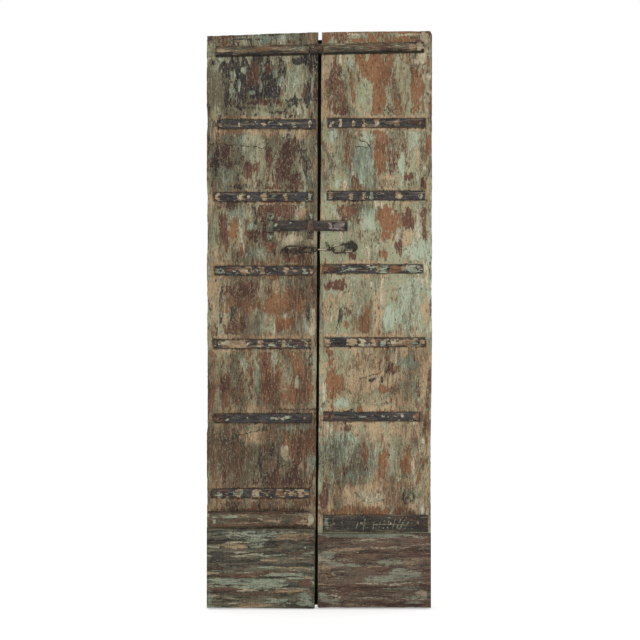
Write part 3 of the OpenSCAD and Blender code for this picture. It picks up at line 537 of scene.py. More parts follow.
def score(shown, at, u, v, torn, size, rows):
    """Draws rows of scratches the same way. size is the field's width and height in mm."""
    for coat, u0, v0, u1, v1, width, amount in rows:
        px, pz = (u - u0) * size[0] / 100, (v - v0) * size[1] / 100
        dx, dz = (u1 - u0) * size[0] / 100, (v1 - v0) * size[1] / 100
        along = np.clip((px * dx + pz * dz) / (dx * dx + dz * dz), 0, 1)
        away = np.hypot(px - along * dx, pz - along * dz) + (torn - 0.5) * 4
        cover = (1 - ease(away, width * 0.15, width * 0.95)) * amount * ease(torn, 0.22, 0.5)
        for key in coats:
            shown[key][at] *= 1 - cover
        shown[coat][at] += cover


def weather(side, x, z):
    """How much of each coat shows at the points (x, z) of one leaf's face, and how dark it is with dirt and
    painted shade.
    """
    shown = {key: np.zeros_like(x) for key in coats}
    middles = [sum(field) / 2 for field in leaf_fields(side)]
    tone = np.interp(z, middles[::-1], tones[side][::-1]) + 0.38 * (cloudy(x, z, 60, 130, 41, 3) - 0.5)
    left, right = leaf_edge[side]
    bend = (cloudy(x, z, 40, 90, 5) - 0.5) * 9
    torn = cloudy(x, z, 13, 46, 11) * 0.6 + cloudy(x, z, 6, 22, 12, 3) * 0.4
    for k, (low, high) in enumerate(leaf_fields(side)):
        v = (z - low) / (high - low) * 100
        at = np.nonzero((v > -daub_over) & (v < 100 + daub_over))[0]
        u = (x[at] - left) / (right - left) * 100 + bend[at] * 0.35
        v = v[at] + bend[at] * 0.6
        inside = at[(v > -spot_over) & (v <= 100 + spot_over)]
        mottle(shown, inside, x, z, shares[side][k], 900)
        daub(shown, at, u, v, torn[at], daubs[side][k])
        score(shown, at, u, v, torn[at], (right - left, high - low),
              [row[1:] for row in scores[side] if row[0] == k])
    grime_and_shade = np.zeros_like(x)
    for number in leaf_strap[side]:
        low, high = box_mm(f"{side}_strap_{number}")
        beside = np.maximum(low[0] - x, x - high[0])
        off = np.maximum(np.maximum(low[2] - z, z - high[2]), beside)
        rim = np.exp(-(((off - 8) / 5) ** 2)) * ease(torn, 0.25, 0.6)
        # Under each strap and just outside its edge the face is darkened: dirt, and painted shadow of the
        # strap.
        line = np.exp(-((np.maximum(off, 0) / 2.4) ** 2)) * (0.5 + 0.5 * torn)
        for key in coats:
            shown[key] *= 1 - 0.7 * rim
        shown["tan"] += 0.7 * rim
        shown["maroon"] += 0.7 * np.exp(-(((off - 3) / 2.2) ** 2)) * ease(torn, 0.45, 0.7)
        grime_and_shade = np.maximum(grime_and_shade, line)
    # A dark band on the planks just below the bead and its stub: painted shadow of the bead.
    for node in (side + "_top_bead", "left_bead_stub"):
        low, high = box_mm(node)
        rise = np.clip((x - low[0]) / (high[0] - low[0]), 0, 1)
        under = low[2] + (high[2] - low[2] - bead_fillet) * rise - z
        within = ease(x, low[0] - 4, low[0] + 2) * (1 - ease(x, high[0] - 2, high[0] + 4))
        grime_and_shade = np.maximum(grime_and_shade, 1.3 * within * (1 - ease(np.abs(under), 1.5, 5.5)))
    shown["tone"] = tone
    shown["stain"] = (np.interp(z, middles[::-1], stains[side][::-1])
                      + 0.7 * (spots(x, z, 40, 110, 43) - 0.5))
    return shown, grime_and_shade, torn


def slab_rings(run, low, high, front, back, step, arris, sink, along, bevel=0.9):
    """Rings round a flat board or bar, one for each place of run along its length.

    low and high are its two long edges at those places, step is the spacing on its
    face, and sink(x, z) is how far the face is worn below its front. arris and bevel
    are how far the corners are taken off in front and behind. Also gives 1
    for each point of the face and the sides, and 0 for the back.
    """
    width = (high - low).max()
    fine, coarse = max(5, int(width / step)), max(3, int(width / 14))
    deep = max(2, int((back - front) / 7))
    low, high, span = low[:, None], high[:, None], np.maximum(high - low - 2 * arris, 0.2)[:, None]
    ahead = low + arris + span * np.linspace(0, 1, fine)
    behind = high - bevel - (span + 2 * arris - 2 * bevel) * np.linspace(0, 1, coarse)
    rows = np.ones((len(run), 1)) * run[:, None]
    places = np.concatenate([ahead, high + np.zeros((1, deep)), behind, low + np.zeros((1, deep))], 1)
    rows = rows + np.zeros_like(places)
    x, z = (rows, places) if along == "x" else (places, rows)
    worn = sink(x[:, :fine], z[:, :fine])
    sides = np.linspace(front + arris, back - bevel, deep)[None, :]
    y = np.concatenate([front + worn, sides + worn[:, -1:], np.full(behind.shape, back),
                        sides[:, ::-1] + worn[:, :1]], 1)
    y = np.minimum(y, back)
    rear = slice(fine + deep, fine + deep + coarse)
    y[:, rear] -= 0.8 * cloudy(x, z, 30, 30, 3)[:, rear]
    face = np.ones_like(y)
    face[:, rear] = 0
    return np.stack([x, y, z], -1), face


plank_paint = layered_paint("weathered_plank_paint", (paint(102, 96, 75), paint(174, 175, 142)), "z",
                            back=(paint(98, 84, 68), paint(154, 136, 110)))

plank_front = -48.0
tight = 0.6  # how far a butted plank's skin runs on into its neighbour's paint
grid = 2.5  # spacing of a plank's points across its face, and next, up it
ring_gap = 3.7
hidden_gap, hidden_top = 8.0, 268  # wider where the kick boards cover the planks


def plank(node, name, wear_low, wear_high, seed):
    """A plank on end, skinned finely enough to carry its worn paint and grain.

    An edge with no wear is butted against its neighbour and closed by paint.
    """
    side = node.split("_")[0]
    cad = points_mm(node)
    corner = {(a, b): cad[np.argmax(a * cad[:, 0] + b * cad[:, 2])] for a in (-1, 1) for b in (-1, 1)}
    left = np.array([corner[-1, -1], corner[-1, 1]])
    right = np.array([corner[1, -1], corner[1, 1]])
    front, back = cad[:, 1].min(), cad[:, 1].max()
    if node == "right_edge_strip":
        right = cad[cad[:, 0] > cad[:, 0].mean()]
        right = right[np.argsort(right[:, 2])]
    top, foot = cad[:, 2].max(), cad[:, 2].min()
    run = np.concatenate([np.arange(foot, hidden_top, hidden_gap), np.arange(hidden_top, top, ring_gap),
                          [top]])
    level = run * 0
    chew = ease(cloudy(run, level, 170, 1, seed), 0.35, 0.9) + 0.4 * cloudy(run, level, 9, 1, seed + 3)
    gnaw = ease(cloudy(run, level, 150, 1, seed + 5), 0.35, 0.9) + 0.4 * cloudy(run, level, 8, 1, seed + 7)
    low = np.interp(run, left[:, 2], left[:, 0]) + (wear_low * chew if wear_low else -tight)
    high = np.interp(run, right[:, 2], right[:, 0]) - (wear_high * gnaw if wear_high else -tight)

    def sink(x, z):
        shown, grime_and_shade, torn = weather(side, x.ravel(), z.ravel())
        bare = sum(shown[key] for key in ("ochre", "maroon", "char", "green")).reshape(x.shape)
        grain = cloudy(x, z, 3.2, 90, seed + 11, 3)
        waves = cloudy(x, z, 70, 300, seed + 13, 3)
        arris = np.minimum(x - x[:, :1], x[:, -1:] - x)
        cut = shown["char"].reshape(x.shape) * cloudy(x, z, 9, 14, seed + 17, 3)
        return (0.25 + 0.7 * waves + (0.25 + 0.45 * bare) * grain + 0.4 * bare + 0.5 * cut
                + 0.8 * np.exp(-arris / 2.2))

    rings, face = slab_rings(run, low, high, front, back, grid, 0.9, sink, "z", bevel=2.6)
    x, z = rings[..., 0], rings[..., 2]
    share = (z - foot) / (top - foot)
    foot_line = np.interp(x, *[[corner[-1, -1][i], corner[1, -1][i]] for i in (0, 2)])
    top_line = np.interp(x, *[[corner[-1, 1][i], corner[1, 1][i]] for i in (0, 2)])
    if node == "right_edge_strip":
        rounding = np.clip((x - (cad[:, 0].max() - 10)) / 10, 0, 1)
        top_line = np.minimum(top_line + 3, top - 10 + 10 * np.sqrt(1 - rounding**2))
    chips = 1.5 * cloudy(x, x * 0, 14, 1, seed + 19)
    rings[..., 2] = foot_line + chips + (top_line - foot_line - 2 * chips) * share
    flat_x, flat_z = x.ravel(), rings[..., 2].ravel()
    shown, grime_and_shade, torn = weather(side, flat_x, flat_z)
    edge = np.minimum(x - x.min(1, keepdims=True), x.max(1, keepdims=True) - x).ravel()
    grime_and_shade = np.maximum(grime_and_shade, 0.35 * np.exp(-edge / 1.5) * (0.2 + 0.8 * torn))
    # The side faces of planks that meet a neighbour darken back from the front toward black: painted shade
    # inside the gaps between planks.
    gap_shade = ease(rings[..., 1].ravel(), front + 1.5, front + 9) * (np.abs(flat_x) < outer_rim)
    gap_shade = gap_shade * (face.ravel() > 0)
    grime_and_shade = np.maximum(grime_and_shade, 1.25 * gap_shade)
    seen = face.ravel()
    aged = 0.5 + 0.13 * math.sin(seed) + 0.5 * (cloudy(flat_x, flat_z, 44, 420, seed + 23, 3) - 0.5)
    damp = 0.7 * ease(-flat_z, -300 + 160 * cloudy(flat_x, flat_x * 0, 40, 1, seed + 29), 20)
    stained = 0.5 * ease(cloudy(flat_x, flat_z, 30, 260, seed + 31, 3), 0.55, 0.85)
    shown["tone"] = shown["tone"] * seen + aged * (1 - seen)
    grime_and_shade = grime_and_shade * seen + np.maximum(damp, stained) * (1 - seen)
    fields = {**shown, "grime_and_shade": grime_and_shade, "face": face}
    piece(name, [(rings, False)], side + "_leaf", plank_paint, [node], fields)


plank("left_edge_strip", "left_outer_strip", 2.6, 0.0, 101)
plank("left_plank_outer", "left_outer_plank", 0.0, 0.0, 211)
plank("left_plank_inner", "left_inner_plank", 0.0, 0.0, 307)
plank("left_plank_meeting", "left_meeting_plank", 0.0, 1.2, 401)
plank("right_plank_meeting", "right_meeting_plank", 1.2, 0.0, 503)
plank("right_plank_outer", "right_outer_plank", 0.0, 0.0, 601)
plank("right_edge_strip", "right_outer_strip", 0.0, 2.2, 701)

# ---------------------------------------------------------------------------
# Ledges. Four rough-sawn boards across the back of each leaf, which the
# planks are nailed to. They were left bare and have gone grey-brown.
ledge_wood = layered_paint("bare_ledge_wood", (paint(74, 60, 48), paint(132, 112, 88)), "x", shown=("tan",))
for side in ("left", "right"):
    for number in (1, 2, 3, 4):
        node = f"{side}_ledge_{number}"
        low, high = box_mm(node)
        run = np.linspace(low[0], high[0], 70)
        saw = 0.8 * cloudy(run, run * 0, 30, 1, number)

        def rough_sawn(x, z):
            return 0.7 * cloudy(x, z, 90, 4, 31 + number) + 0.4 * cloudy(x, z, 4, 40, 37)

        rings, face = slab_rings(run, low[2] + saw, high[2] - saw[::-1], low[1] + 0.4, high[1] - 0.3, 4, 1.6,
                                 rough_sawn, "x")
        rings[..., 1] = low[1] + high[1] - rings[..., 1]
        x, z = rings[..., 0], rings[..., 2]
        fields = {"tan": 0.45 * cloudy(x, z, 80, 10, 43), "grime_and_shade": 0.5 * cloudy(x, z, 60, 12, 41),
                  "tone": 0.35 + 0.3 * cloudy(x, z, 120, 20, 45)}
        piece(f"{side}_back_ledge_{number}", [(rings, False)], side + "_leaf", ledge_wood,
              [node], fields)

# ---------------------------------------------------------------------------
# Lap strip. A plain batten nailed to the back of the right leaf, which closes
# the gap between the leaves. Where it shows through the gap it is painted nearly black, as painted shade.
low, high = box_mm("right_lap_strip")
run = np.linspace(low[2], high[2], 260)
wane = 0.9 * cloudy(run, run * 0, 60, 1, 47, 3)


def sawn_strip(x, z):
    return 0.5 * cloudy(x, z, 5, 120, 49) + 0.3 * cloudy(x, z, 20, 20, 53)


rings, face = slab_rings(run, low[0] + wane, high[0] - wane[::-1], low[1] + 0.1, high[1] - 0.2, 4, 1.2,
                         sawn_strip, "z")
rings[..., 1] = low[1] + high[1] - rings[..., 1]
strip_wood = layered_paint("strip_wood_gap_shaded", (paint(60, 48, 38), paint(120, 100, 78)), "z",
                           shown=("char",))
x, z = rings[..., 0], rings[..., 2]
# The face that looks out through the gap takes char and near-black: painted shade in the gap.
piece("lap_strip", [(rings, False)], "right_leaf", strip_wood, ["right_lap_strip"],
      {"tone": 0.35 + 0.3 * cloudy(x, z, 30, 160, 61), "char": 0.9 * (1 - face),
       "grime_and_shade": np.maximum(0.4 * cloudy(x, z, 20, 90, 59), 1.3 * (1 - face))})

# ---------------------------------------------------------------------------
# Kick boards. A wide board nailed across the foot of each leaf, brushed over
# from side to side, so that old coats show in bands along the grain.


def outline(node, run):
    """The lower and the upper edge of a frame node, seen from the front, at the places of run."""
    flat = np.unique(points_mm(node)[:, [0, 2]].round(2), axis=0)
    edges = []
    for turn in (1, -1):
        chain = []
        for point in flat:
            while len(chain) > 1:
                (ax, az), (bx, bz) = chain[-1] - chain[-2], point - chain[-1]
                if turn * (ax * bz - az * bx) > 0:
                    break
                chain.pop()
            chain.append(point)
        chain = np.array(chain)
        edges.append(np.interp(run, chain[:, 0], chain[:, 1]))
    return edges


def dressed(x, z, low, high, rows, portions, seed, wide, tall, lines=()):
    """Coat fields at (x, z) of a piece of its own, with its marks placed across and up its box."""
    x, z = x.ravel(), z.ravel()
    shown = {key: np.zeros(x.size) for key in coats}
    shown["tone"] = 0.5 + 0.2 * (cloudy(x, z, wide * 2, tall * 2, seed + 4, 2) - 0.5)
    at = np.arange(x.size)
    torn = cloudy(x, z, wide, tall, seed + 1) * 0.6 + cloudy(x, z, wide * 0.4, tall * 0.4, seed + 2, 3) * 0.4
    sway = (cloudy(x, z, wide * 1.5, wide * 1.5, seed + 3) - 0.5) * 5
    u = (x - low[0] + sway) / (high[0] - low[0]) * 100
    v = (z - low[2] + sway) / (high[2] - low[2]) * 100
    mottle(shown, at, x, z, portions, seed + 5, wide, tall)
    daub(shown, at, u, v, torn, rows)
    score(shown, at, u, v, torn, (high[0] - low[0], high[2] - low[2]), lines)
    return shown, torn


def crossbar(node, name, body, finish, step, arris, wander, sink, rows, portions, seed,
             wide=60, tall=9, lines=(), bedded=1.4):
    """A board or iron that lies across a leaf, skinned to its node's outline and painted.

    step is the spacing of its points, arris is how far its front corners are worn
    off, wander is how far its edges stray inwards, and bedded is how far its back
    sinks into what it lies on. wide and tall are the size of its spots of paint.
    """
    low, high = box_mm(node)
    count = int((high[0] - low[0]) / step * 1.5)
    run = low[0] + 0.04 + (high[0] - low[0] - 0.08) * (0.5 - 0.5 * np.cos(np.linspace(0, np.pi, count)))
    under, over = outline(node, run)
    under = under + wander * cloudy(run, run * 0, 26, 1, seed + 7)
    over = over - wander * cloudy(run, run * 0, 26, 1, seed + 9)
    middle = (under + over) / 2
    under, over = np.minimum(under, middle - 0.8), np.maximum(over, middle + 0.8)
    rings, face = slab_rings(run, under, over, low[1], high[1] + bedded, step, arris, sink, "x")
    x, z = rings[..., 0], rings[..., 2]
    shown, torn = dressed(x, z, low, high, rows, portions, seed, wide, tall, lines)
    # Near its top and bottom edges it darkens: dirt, and painted shade where the edges meet the face behind.
    rim = np.minimum(z - under[:, None], over[:, None] - z).ravel()
    grime_and_shade = 0.8 * np.exp(-np.maximum(rim, 0) / 1.6) * (0.3 + 0.7 * torn)
    piece(name, [(rings, False)], body, finish, [node], {**shown, "grime_and_shade": grime_and_shade, "face": face})


def brushed_board(x, z):
    comb = cloudy(x, z, 3.4, 60, 61, 2)
    grain = cloudy(x, z, 170, 7, 67, 4)
    return 0.3 + 0.35 * comb + 0.8 * grain + 0.5 * cloudy(x, z, 90, 90, 71, 2)


left_board_paint = layered_paint("left_kick_board_paint", (paint(56, 54, 44), paint(122, 118, 98)), "x",
                                 ribs=0.45, dirt=0.4, veil=0.22)
right_board_paint = layered_paint("right_kick_board_paint", (paint(62, 47, 40), paint(119, 102, 88)), "x",
                                  ribs=0.3, dirt=0.4, veil=0.45)
crossbar("left_kick_board", "left_kick_board_worn", "left_leaf", left_board_paint,
         2.6, 1.6, 0.9, brushed_board, [
             ("mint", 50, 93, 44, 5, 0, .6), ("tan", 80, 90, 17, 5, 0, .85), ("char", 8, 84, 9, 6, 0, .85),
             ("tan", 24, 78, 16, 3, 0, .75), ("mint", 48, 84, 10, 8, 0, .6), ("char", 12, 64, 12, 8, 0, .6),
             ("tan", 82, 62, 15, 3.5, 0, .5), ("char", 60, 80, 6, 3, 0, .5), ("char", 85, 76, 14, 3, 0, .6),
             ("char", 30, 60, 26, 4, 0, .6), ("char", 76, 54, 24, 2.6, 0, .8),
             ("maroon", 26, 42, 26, 3.4, 0, .95),
             ("maroon", 66, 45, 20, 2.2, 0, .7), ("mint", 14, 47, 8, 2, 0, .7),
             ("mint", 74, 41, 22, 3, 0, .8),
             ("mint", 16, 34, 15, 4.5, 0, .85), ("mint", 58, 35, 20, 3, 0, .85),
             ("mint", 46, 29, 34, 3, 0, .7),
             ("maroon", 91, 31, 6, 6, 0, .9), ("char", 66, 39, 20, 1.6, 0, .6),
             ("maroon", 16, 23.5, 16, 3.4, 0, .95),
             ("maroon", 48, 19, 30, 3, 0, .8), ("char", 72, 17, 18, 2, 0, .55),
             ("mint", 92, 13, 8, 10, 0, .85),
             ("mint", 3, 13, 3, 9, 0, .9), ("cream", 21, 13.5, 12, 1.7, 0, .8), ("tan", 50, 5, 26, 3, 0, .8),
             ("mint", 66, 9, 12, 4, 0, .6), ("tan", 70, 22, 14, 2, 0, .6)],
         (.26, .16, .03, .12, .12, .05), 1100, 90, 9, lines=[
             ("char", 8, 9.5, 30, 11, 5, 1), ("char", 30, 11, 33, 16, 5, .9),
             ("char", 60, 69, 98, 74, 5, .8),
             ("char", 30, 68, 62, 72, 5, .7), ("char", 52, 53, 98, 56, 4, .9),
             ("char", 4, 53, 40, 52, 5, .7),
             ("maroon", 2, 41, 56, 43, 6, .8), ("char", 20, 91, 60, 88, 3, .4),
             ("maroon", 35, 12, 95, 21, 4, .6)])
crossbar("right_kick_board", "right_kick_board_worn", "right_leaf", right_board_paint,
         2.6, 1.6, 0.9, brushed_board, [
             ("mint", 48, 97, 46, 3, 0, .75), ("cream", 92, 96, 5, 4, 0, .5), ("mint", 7, 70, 8, 7, 0, .75),
             ("tan", 5, 45, 6, 13, 0, .6), ("maroon", 3, 90, 4, 5, 0, .9), ("char", 26, 82, 22, 2.4, 0, .5),
             ("maroon", 32, 64, 18, 6, 0, .5), ("ochre", 55, 86, 12, 3, 0, .45),
             ("mint", 66, 60, 18, 5, 0, .6),
             ("mint", 76, 46, 14, 8, 0, .72), ("mint", 57, 38, 12, 5, 0, .6), ("tan", 82, 60, 8, 10, 0, .5),
             ("maroon", 55, 52, 9, 4, 0, .7), ("maroon", 86, 78, 8, 10, 0, .75),
             ("maroon", 96.5, 44, 4, 22, 0, .9),
             ("char", 95, 60, 3, 20, 0, .4), ("maroon", 36, 25, 18, 5, 0, .8),
             ("mint", 74, 26, 22, 2.4, 0, .6),
             ("cream", 14, 14, 6, 12, 0, .55), ("mint", 5, 17, 6, 6, 0, .7), ("cream", 92, 18, 5, 4, 0, .7),
             ("maroon", 60, 7, 34, 4, 0, .7), ("maroon", 96, 5, 5, 5, 0, .9), ("mint", 84, 7, 8, 1.6, 0, .8),
             ("char", 12, 33, 12, 2, 0, .5), ("mint", 12, 9, 9, 2, 0, .7)],
         (.2, .18, .06, .16, .05, .06), 1200, 90, 9, lines=[
             ("char", 21, 14, 58, 15, 4, .8), ("char", 58, 15, 96, 13, 4, .8),
             ("cream", 22, 11, 60, 12.5, 4, .6),
             ("char", 30, 72, 58, 78, 3, .4), ("cream", 60, 70, 84, 62, 3, .5),
             ("cream", 56, 44, 86, 52, 3, .5),
             ("cream", 62, 30, 88, 31, 3, .6), ("char", 50, 47, 78, 43, 3, .5)])

# ---------------------------------------------------------------------------
# Kick batten. A thicker rail with a rounded end above the left kick board. Its
# edges have lost their top coat, and its end has gone white.
batten_paint = layered_paint("kick_batten_paint", (paint(60, 53, 42), paint(118, 107, 85)), "x",
                             ribs=0.2, bite=0.8, dirt=0.5, veil=0.25)


def rounded_rail(x, z):
    low, high = box_mm("left_kick_batten")
    from_edge = np.minimum(z - low[2], high[2] - z)
    end = np.clip((high[0] - x) / 14, 0, 1)
    return (0.3 + 0.7 * cloudy(x, z, 120, 8, 73) + 3.4 * (1 - ease(from_edge, 0, 13)) ** 1.6
            + 4 * (1 - end) ** 2 + 0.3 * cloudy(x, z, 4, 30, 75, 2))


crossbar("left_kick_batten", "left_kick_batten_worn", "left_leaf", batten_paint,
         2.4, 2.0, 0.8, rounded_rail, [
             ("mint", 5, 45, 3, 26, 0, .6), ("mint", 24, 55, 16, 18, 0, .35),
             ("mint", 66, 62, 12, 10, 0, .35),
             ("tan", 88, 30, 8, 18, 0, .75), ("ochre", 83, 40, 6, 12, 0, .6), ("char", 76, 50, 6, 22, 0, .5),
             ("maroon", 50, 92, 52, 7, 0, .95), ("maroon", 50, 10, 52, 8, 0, .85),
             # the black band along its lower edge is painted shadow under the batten
             ("char", 40, 1, 50, 5, 0, .8),
             ("maroon", 2.5, 50, 2, 50, 0, .8), ("cream", 98, 50, 3.6, 60, 0, 1),
             ("tan", 40, 27, 20, 6, 0, .5),
             ("char", 52, 98, 48, 3, 0, .5)],
         (.24, .2, .04, .14, .08, .05), 1300, 60, 9)

# ---------------------------------------------------------------------------
# Straps. Flat forged bars let down on each leaf, nailed through, and painted
# slate, with blots of tan paint over the nails. A wider plate lies lowest on
# the right leaf.
strap_paint = layered_paint("worn_strap_paint", (paint(34, 34, 38), paint(74, 73, 74)), "x",
                            bite=0.5, dirt=0.3, veil=0.12)
iron_bedded = 2.4  # how deep straps and the plate are let into the planks
# Each strap's marks, as (coat, place and half width along it in hundredths of its
# length, height and half height in hundredths of its width).
strap_marks = {
    "left_6": [("cream", 22, 0.9, 45, 22), ("tan", 47, 1.1, 55, 30), ("mint", 64, 4.3, 50, 16),
               ("mint", 78, 2.9, 52, 18), ("cream", 94, 1.4, 50, 36), ("tan", 3, 2.2, 40, 20)],
    "left_5": [("tan", 28, 3.2, 45, 42), ("cream", 27, 1.4, 50, 24), ("tan", 51, 3.2, 50, 40),
               ("tan", 72.5, 1.9, 50, 36), ("mint", 97, 1.7, 50, 44), ("tan", 4, 2.2, 50, 44),
               ("mint", 62, 2.9, 60, 14)],
    "left_4": [("mint", 8, 9, 45, 36), ("maroon", 14, 5, 60, 24), ("tan", 31, 7, 48, 42),
               ("cream", 33, 2.2, 52, 20),
               ("tan", 49, 2.6, 45, 36), ("tan", 73, 2.9, 55, 36), ("mint", 60, 3.6, 70, 16),
               ("mint", 92, 4.3, 40, 30)],
    "left_3": [("tan", 19, 17, 52, 48), ("cream", 12, 5, 60, 26), ("tan", 28, 5, 48, 46),
               ("tan", 48, 3.2, 50, 40),
               ("tan", 72, 2.6, 50, 38), ("tan", 95, 2.2, 50, 40), ("mint", 60, 4.3, 30, 14)],
    "left_2": [("mint", 64, 8, 50, 12), ("mint", 75, 2.9, 60, 14), ("maroon", 5, 5, 50, 46),
               ("mint", 35, 3.6, 40, 10),
               ("cream", 70, 1.4, 40, 10)],
    "left_1": [("tan", 28, 3.6, 50, 42), ("mint", 30, 2.2, 55, 22), ("tan", 46, 4, 48, 42),
               ("tan", 70, 4, 52, 42),
               ("ochre", 72, 2.2, 45, 20), ("tan", 92, 3.6, 50, 40), ("mint", 8, 3.6, 50, 24),
               ("cream", 47, 1.7, 52, 20)],
    "right_6": [("cream", 13, 1.2, 50, 40), ("tan", 26, 2.7, 50, 42), ("cream", 26, 1.6, 55, 24),
                ("tan", 36.5, 1.7, 45, 40), ("tan", 50, 2.9, 52, 42), ("cream", 51, 1.4, 45, 22),
                ("tan", 70, 2.7, 48, 36),
                ("maroon", 90, 8, 60, 30), ("cream", 3, 1.2, 30, 24)],
    "right_5": [("tan", 25, 2.3, 50, 40), ("tan", 37, 2.4, 50, 40), ("cream", 37, 1.3, 50, 20),
                ("mint", 46, 2.4, 45, 46), ("tan", 73, 3.6, 52, 40), ("cream", 74, 1.7, 50, 22),
                ("tan", 4, 2.2, 50, 40),
                ("mint", 96, 2.2, 50, 40)],
    "right_4": [("ochre", 6, 7, 50, 46), ("maroon", 9, 4, 50, 30), ("mint", 30, 9, 50, 12),
                ("mint", 60, 14, 50, 40),
                ("ochre", 72, 8, 50, 40), ("mint", 88, 10, 45, 38), ("tan", 54, 2.4, 50, 40),
                ("tan", 79, 2.2, 50, 36)],
    "right_3": [("tan", 3, 3, 50, 44), ("char", 15, 7, 50, 50), ("tan", 28, 4.6, 50, 44),
                ("cream", 38, 3.6, 50, 40),
                ("tan", 50, 4, 50, 44), ("ochre", 52, 1.6, 52, 32), ("mint", 59, 3.6, 45, 36),
                ("tan", 82, 17, 50, 44),
                ("cream", 70, 3.6, 56, 22), ("mint", 90, 4, 45, 24)],
    "right_2": [("maroon", 5, 5, 50, 46), ("ochre", 96, 2.9, 50, 46), ("mint", 38, 7, 45, 14),
                ("mint", 62, 8, 55, 14),
                ("cream", 81, 1.4, 50, 14)],
}
worn_straps = {"left_4", "left_3", "left_1", "right_4", "right_3"}
for k, (key, marks) in enumerate(strap_marks.items()):
    side, number = key.split("_")

    def hammered(x, z):
        return 0.15 + 0.5 * cloudy(x, z, 24, 18, 83 + 5 * k, 3) + 0.25 * cloudy(x, z, 5, 5, 89, 2)

    rows = [(coat, u, v, du, dv * 1.15, 0, .66 if coat == "mint" else 1) for coat, u, du, v, dv in marks]
    rows += [("maroon", 50, 0, 50, 7, 0, .6), ("maroon", 50, 100, 50, 7, 0, .5)]
    portions = (.1, .12, .04, .1, .05, .02) if key in worn_straps else (0, .02, 0, .05, .04, .01)
    crossbar(f"{side}_strap_{number}", f"{side}_iron_strap_{number}", side + "_leaf",
             strap_paint, 1.5, 0.8, 0.7, hammered, rows, portions, 1400 + 40 * k, 14, 6,
             bedded=iron_bedded)


def scraped_plate(x, z):
    return 0.2 + 0.6 * cloudy(x, z, 40, 24, 97, 3) + 0.5 * cloudy(x, z, 7, 30, 101, 2)


plate_scrapes = [("mint", u, v0, u + lean, v1, 4.6, .8) for u, v0, v1, lean in (
    (38, 12, 70, 2), (42, 20, 84, 3), (47, 12, 62, 2), (53, 14, 50, 1), (57, 18, 66, 1), (61, 20, 60, 1),
    (66, 22, 76, 3), (70, 18, 84, 5), (74, 30, 88, 6), (31, 20, 48, 2), (78, 20, 62, 4))]
plate_scrapes += [("mint", 26, 76, 40, 80, 3, .55), ("mint", 52, 74, 66, 78, 3, .6),
                  ("char", 43, 30, 46, 90, 6, .9)]
plate_paint = layered_paint("kick_plate_paint", (paint(30, 28, 27), paint(70, 66, 60)), "x",
                            bite=0.6, dirt=0.4, veil=0.35)
crossbar("right_kick_plate", "right_kick_plate_worn", "right_leaf", plate_paint,
         2.0, 0.9, 0.9, scraped_plate, [
             ("maroon", 50, 97, 52, 7, 0, .9), ("maroon", 82, 78, 12, 12, 0, .6),
             ("mint", 3, 45, 2.4, 34, 0, .6),
             ("mint", 20, 56, 14, 12, 0, .35), ("char", 26, 34, 12, 14, 0, .5),
             ("char", 86, 34, 12, 24, 0, .5),
             ("char", 50, 2, 52, 8, 0, .9)],
         (.02, .03, .02, .12, .1, .01), 1900, 40, 9, lines=plate_scrapes, bedded=iron_bedded)

# ---------------------------------------------------------------------------
# Top bead. A half-round moulding run on a thin fillet and nailed along the
# head of both leaves. A stub of it bridges the gap.
bead_paint = layered_paint("worn_bead_paint", (paint(66, 54, 43), paint(122, 112, 88)), "x",
                           bite=0.8, dirt=0.7, veil=0.2)
bead_portions = (.2, .16, .12, .26, .1, .04)
fillet_y, fillet_half, bead_radius = -51.0, bead_fillet / 2, 14.0
bead_bedded = 4.6  # its back lies this far behind the fillet's face
# The black on the lower part of each bead and of the stub is painted shadow on their undersides.
bead_marks = {
    "left_top_bead": [("tan", 50, 96, 50, 5, 0, .6), ("maroon", 44, 50, 30, 30, 0, .5),
                      ("ochre", 54, 55, 10, 26, 0, .7),
                      ("mint", 28, 62, 12, 20, 0, .4), ("mint", 88, 55, 10, 30, 0, .45),
                      ("tan", 6, 60, 5, 40, 0, .7),
                      ("char", 20, 22, 20, 12, 0, .7), ("char", 60, 20, 40, 10, 0, .9),
                      ("maroon", 70, 82, 14, 10, 0, .7),
                      ("cream", 50, 84, 7, 5, 0, .7)],
    "left_bead_stub": [("maroon", 50, 50, 60, 50, 0, .8), ("mint", 20, 70, 16, 20, 0, .6),
                       ("char", 50, 15, 60, 14, 0, .9)],
    "right_top_bead": [("mint", 26, 52, 16, 26, 0, .4), ("maroon", 54, 50, 14, 30, 0, .75),
                       ("mint", 72, 56, 10, 24, 0, .4),
                       ("ochre", 40, 84, 16, 8, 0, .7), ("cream", 50, 92, 50, 4, 0, .6),
                       ("char", 50, 14, 44, 11, 0, .95),
                       ("cream", 95, 55, 3.4, 50, 0, .9), ("tan", 88, 50, 5, 40, 0, .7),
                       ("maroon", 90, 84, 3, 10, 0, .8)],
}
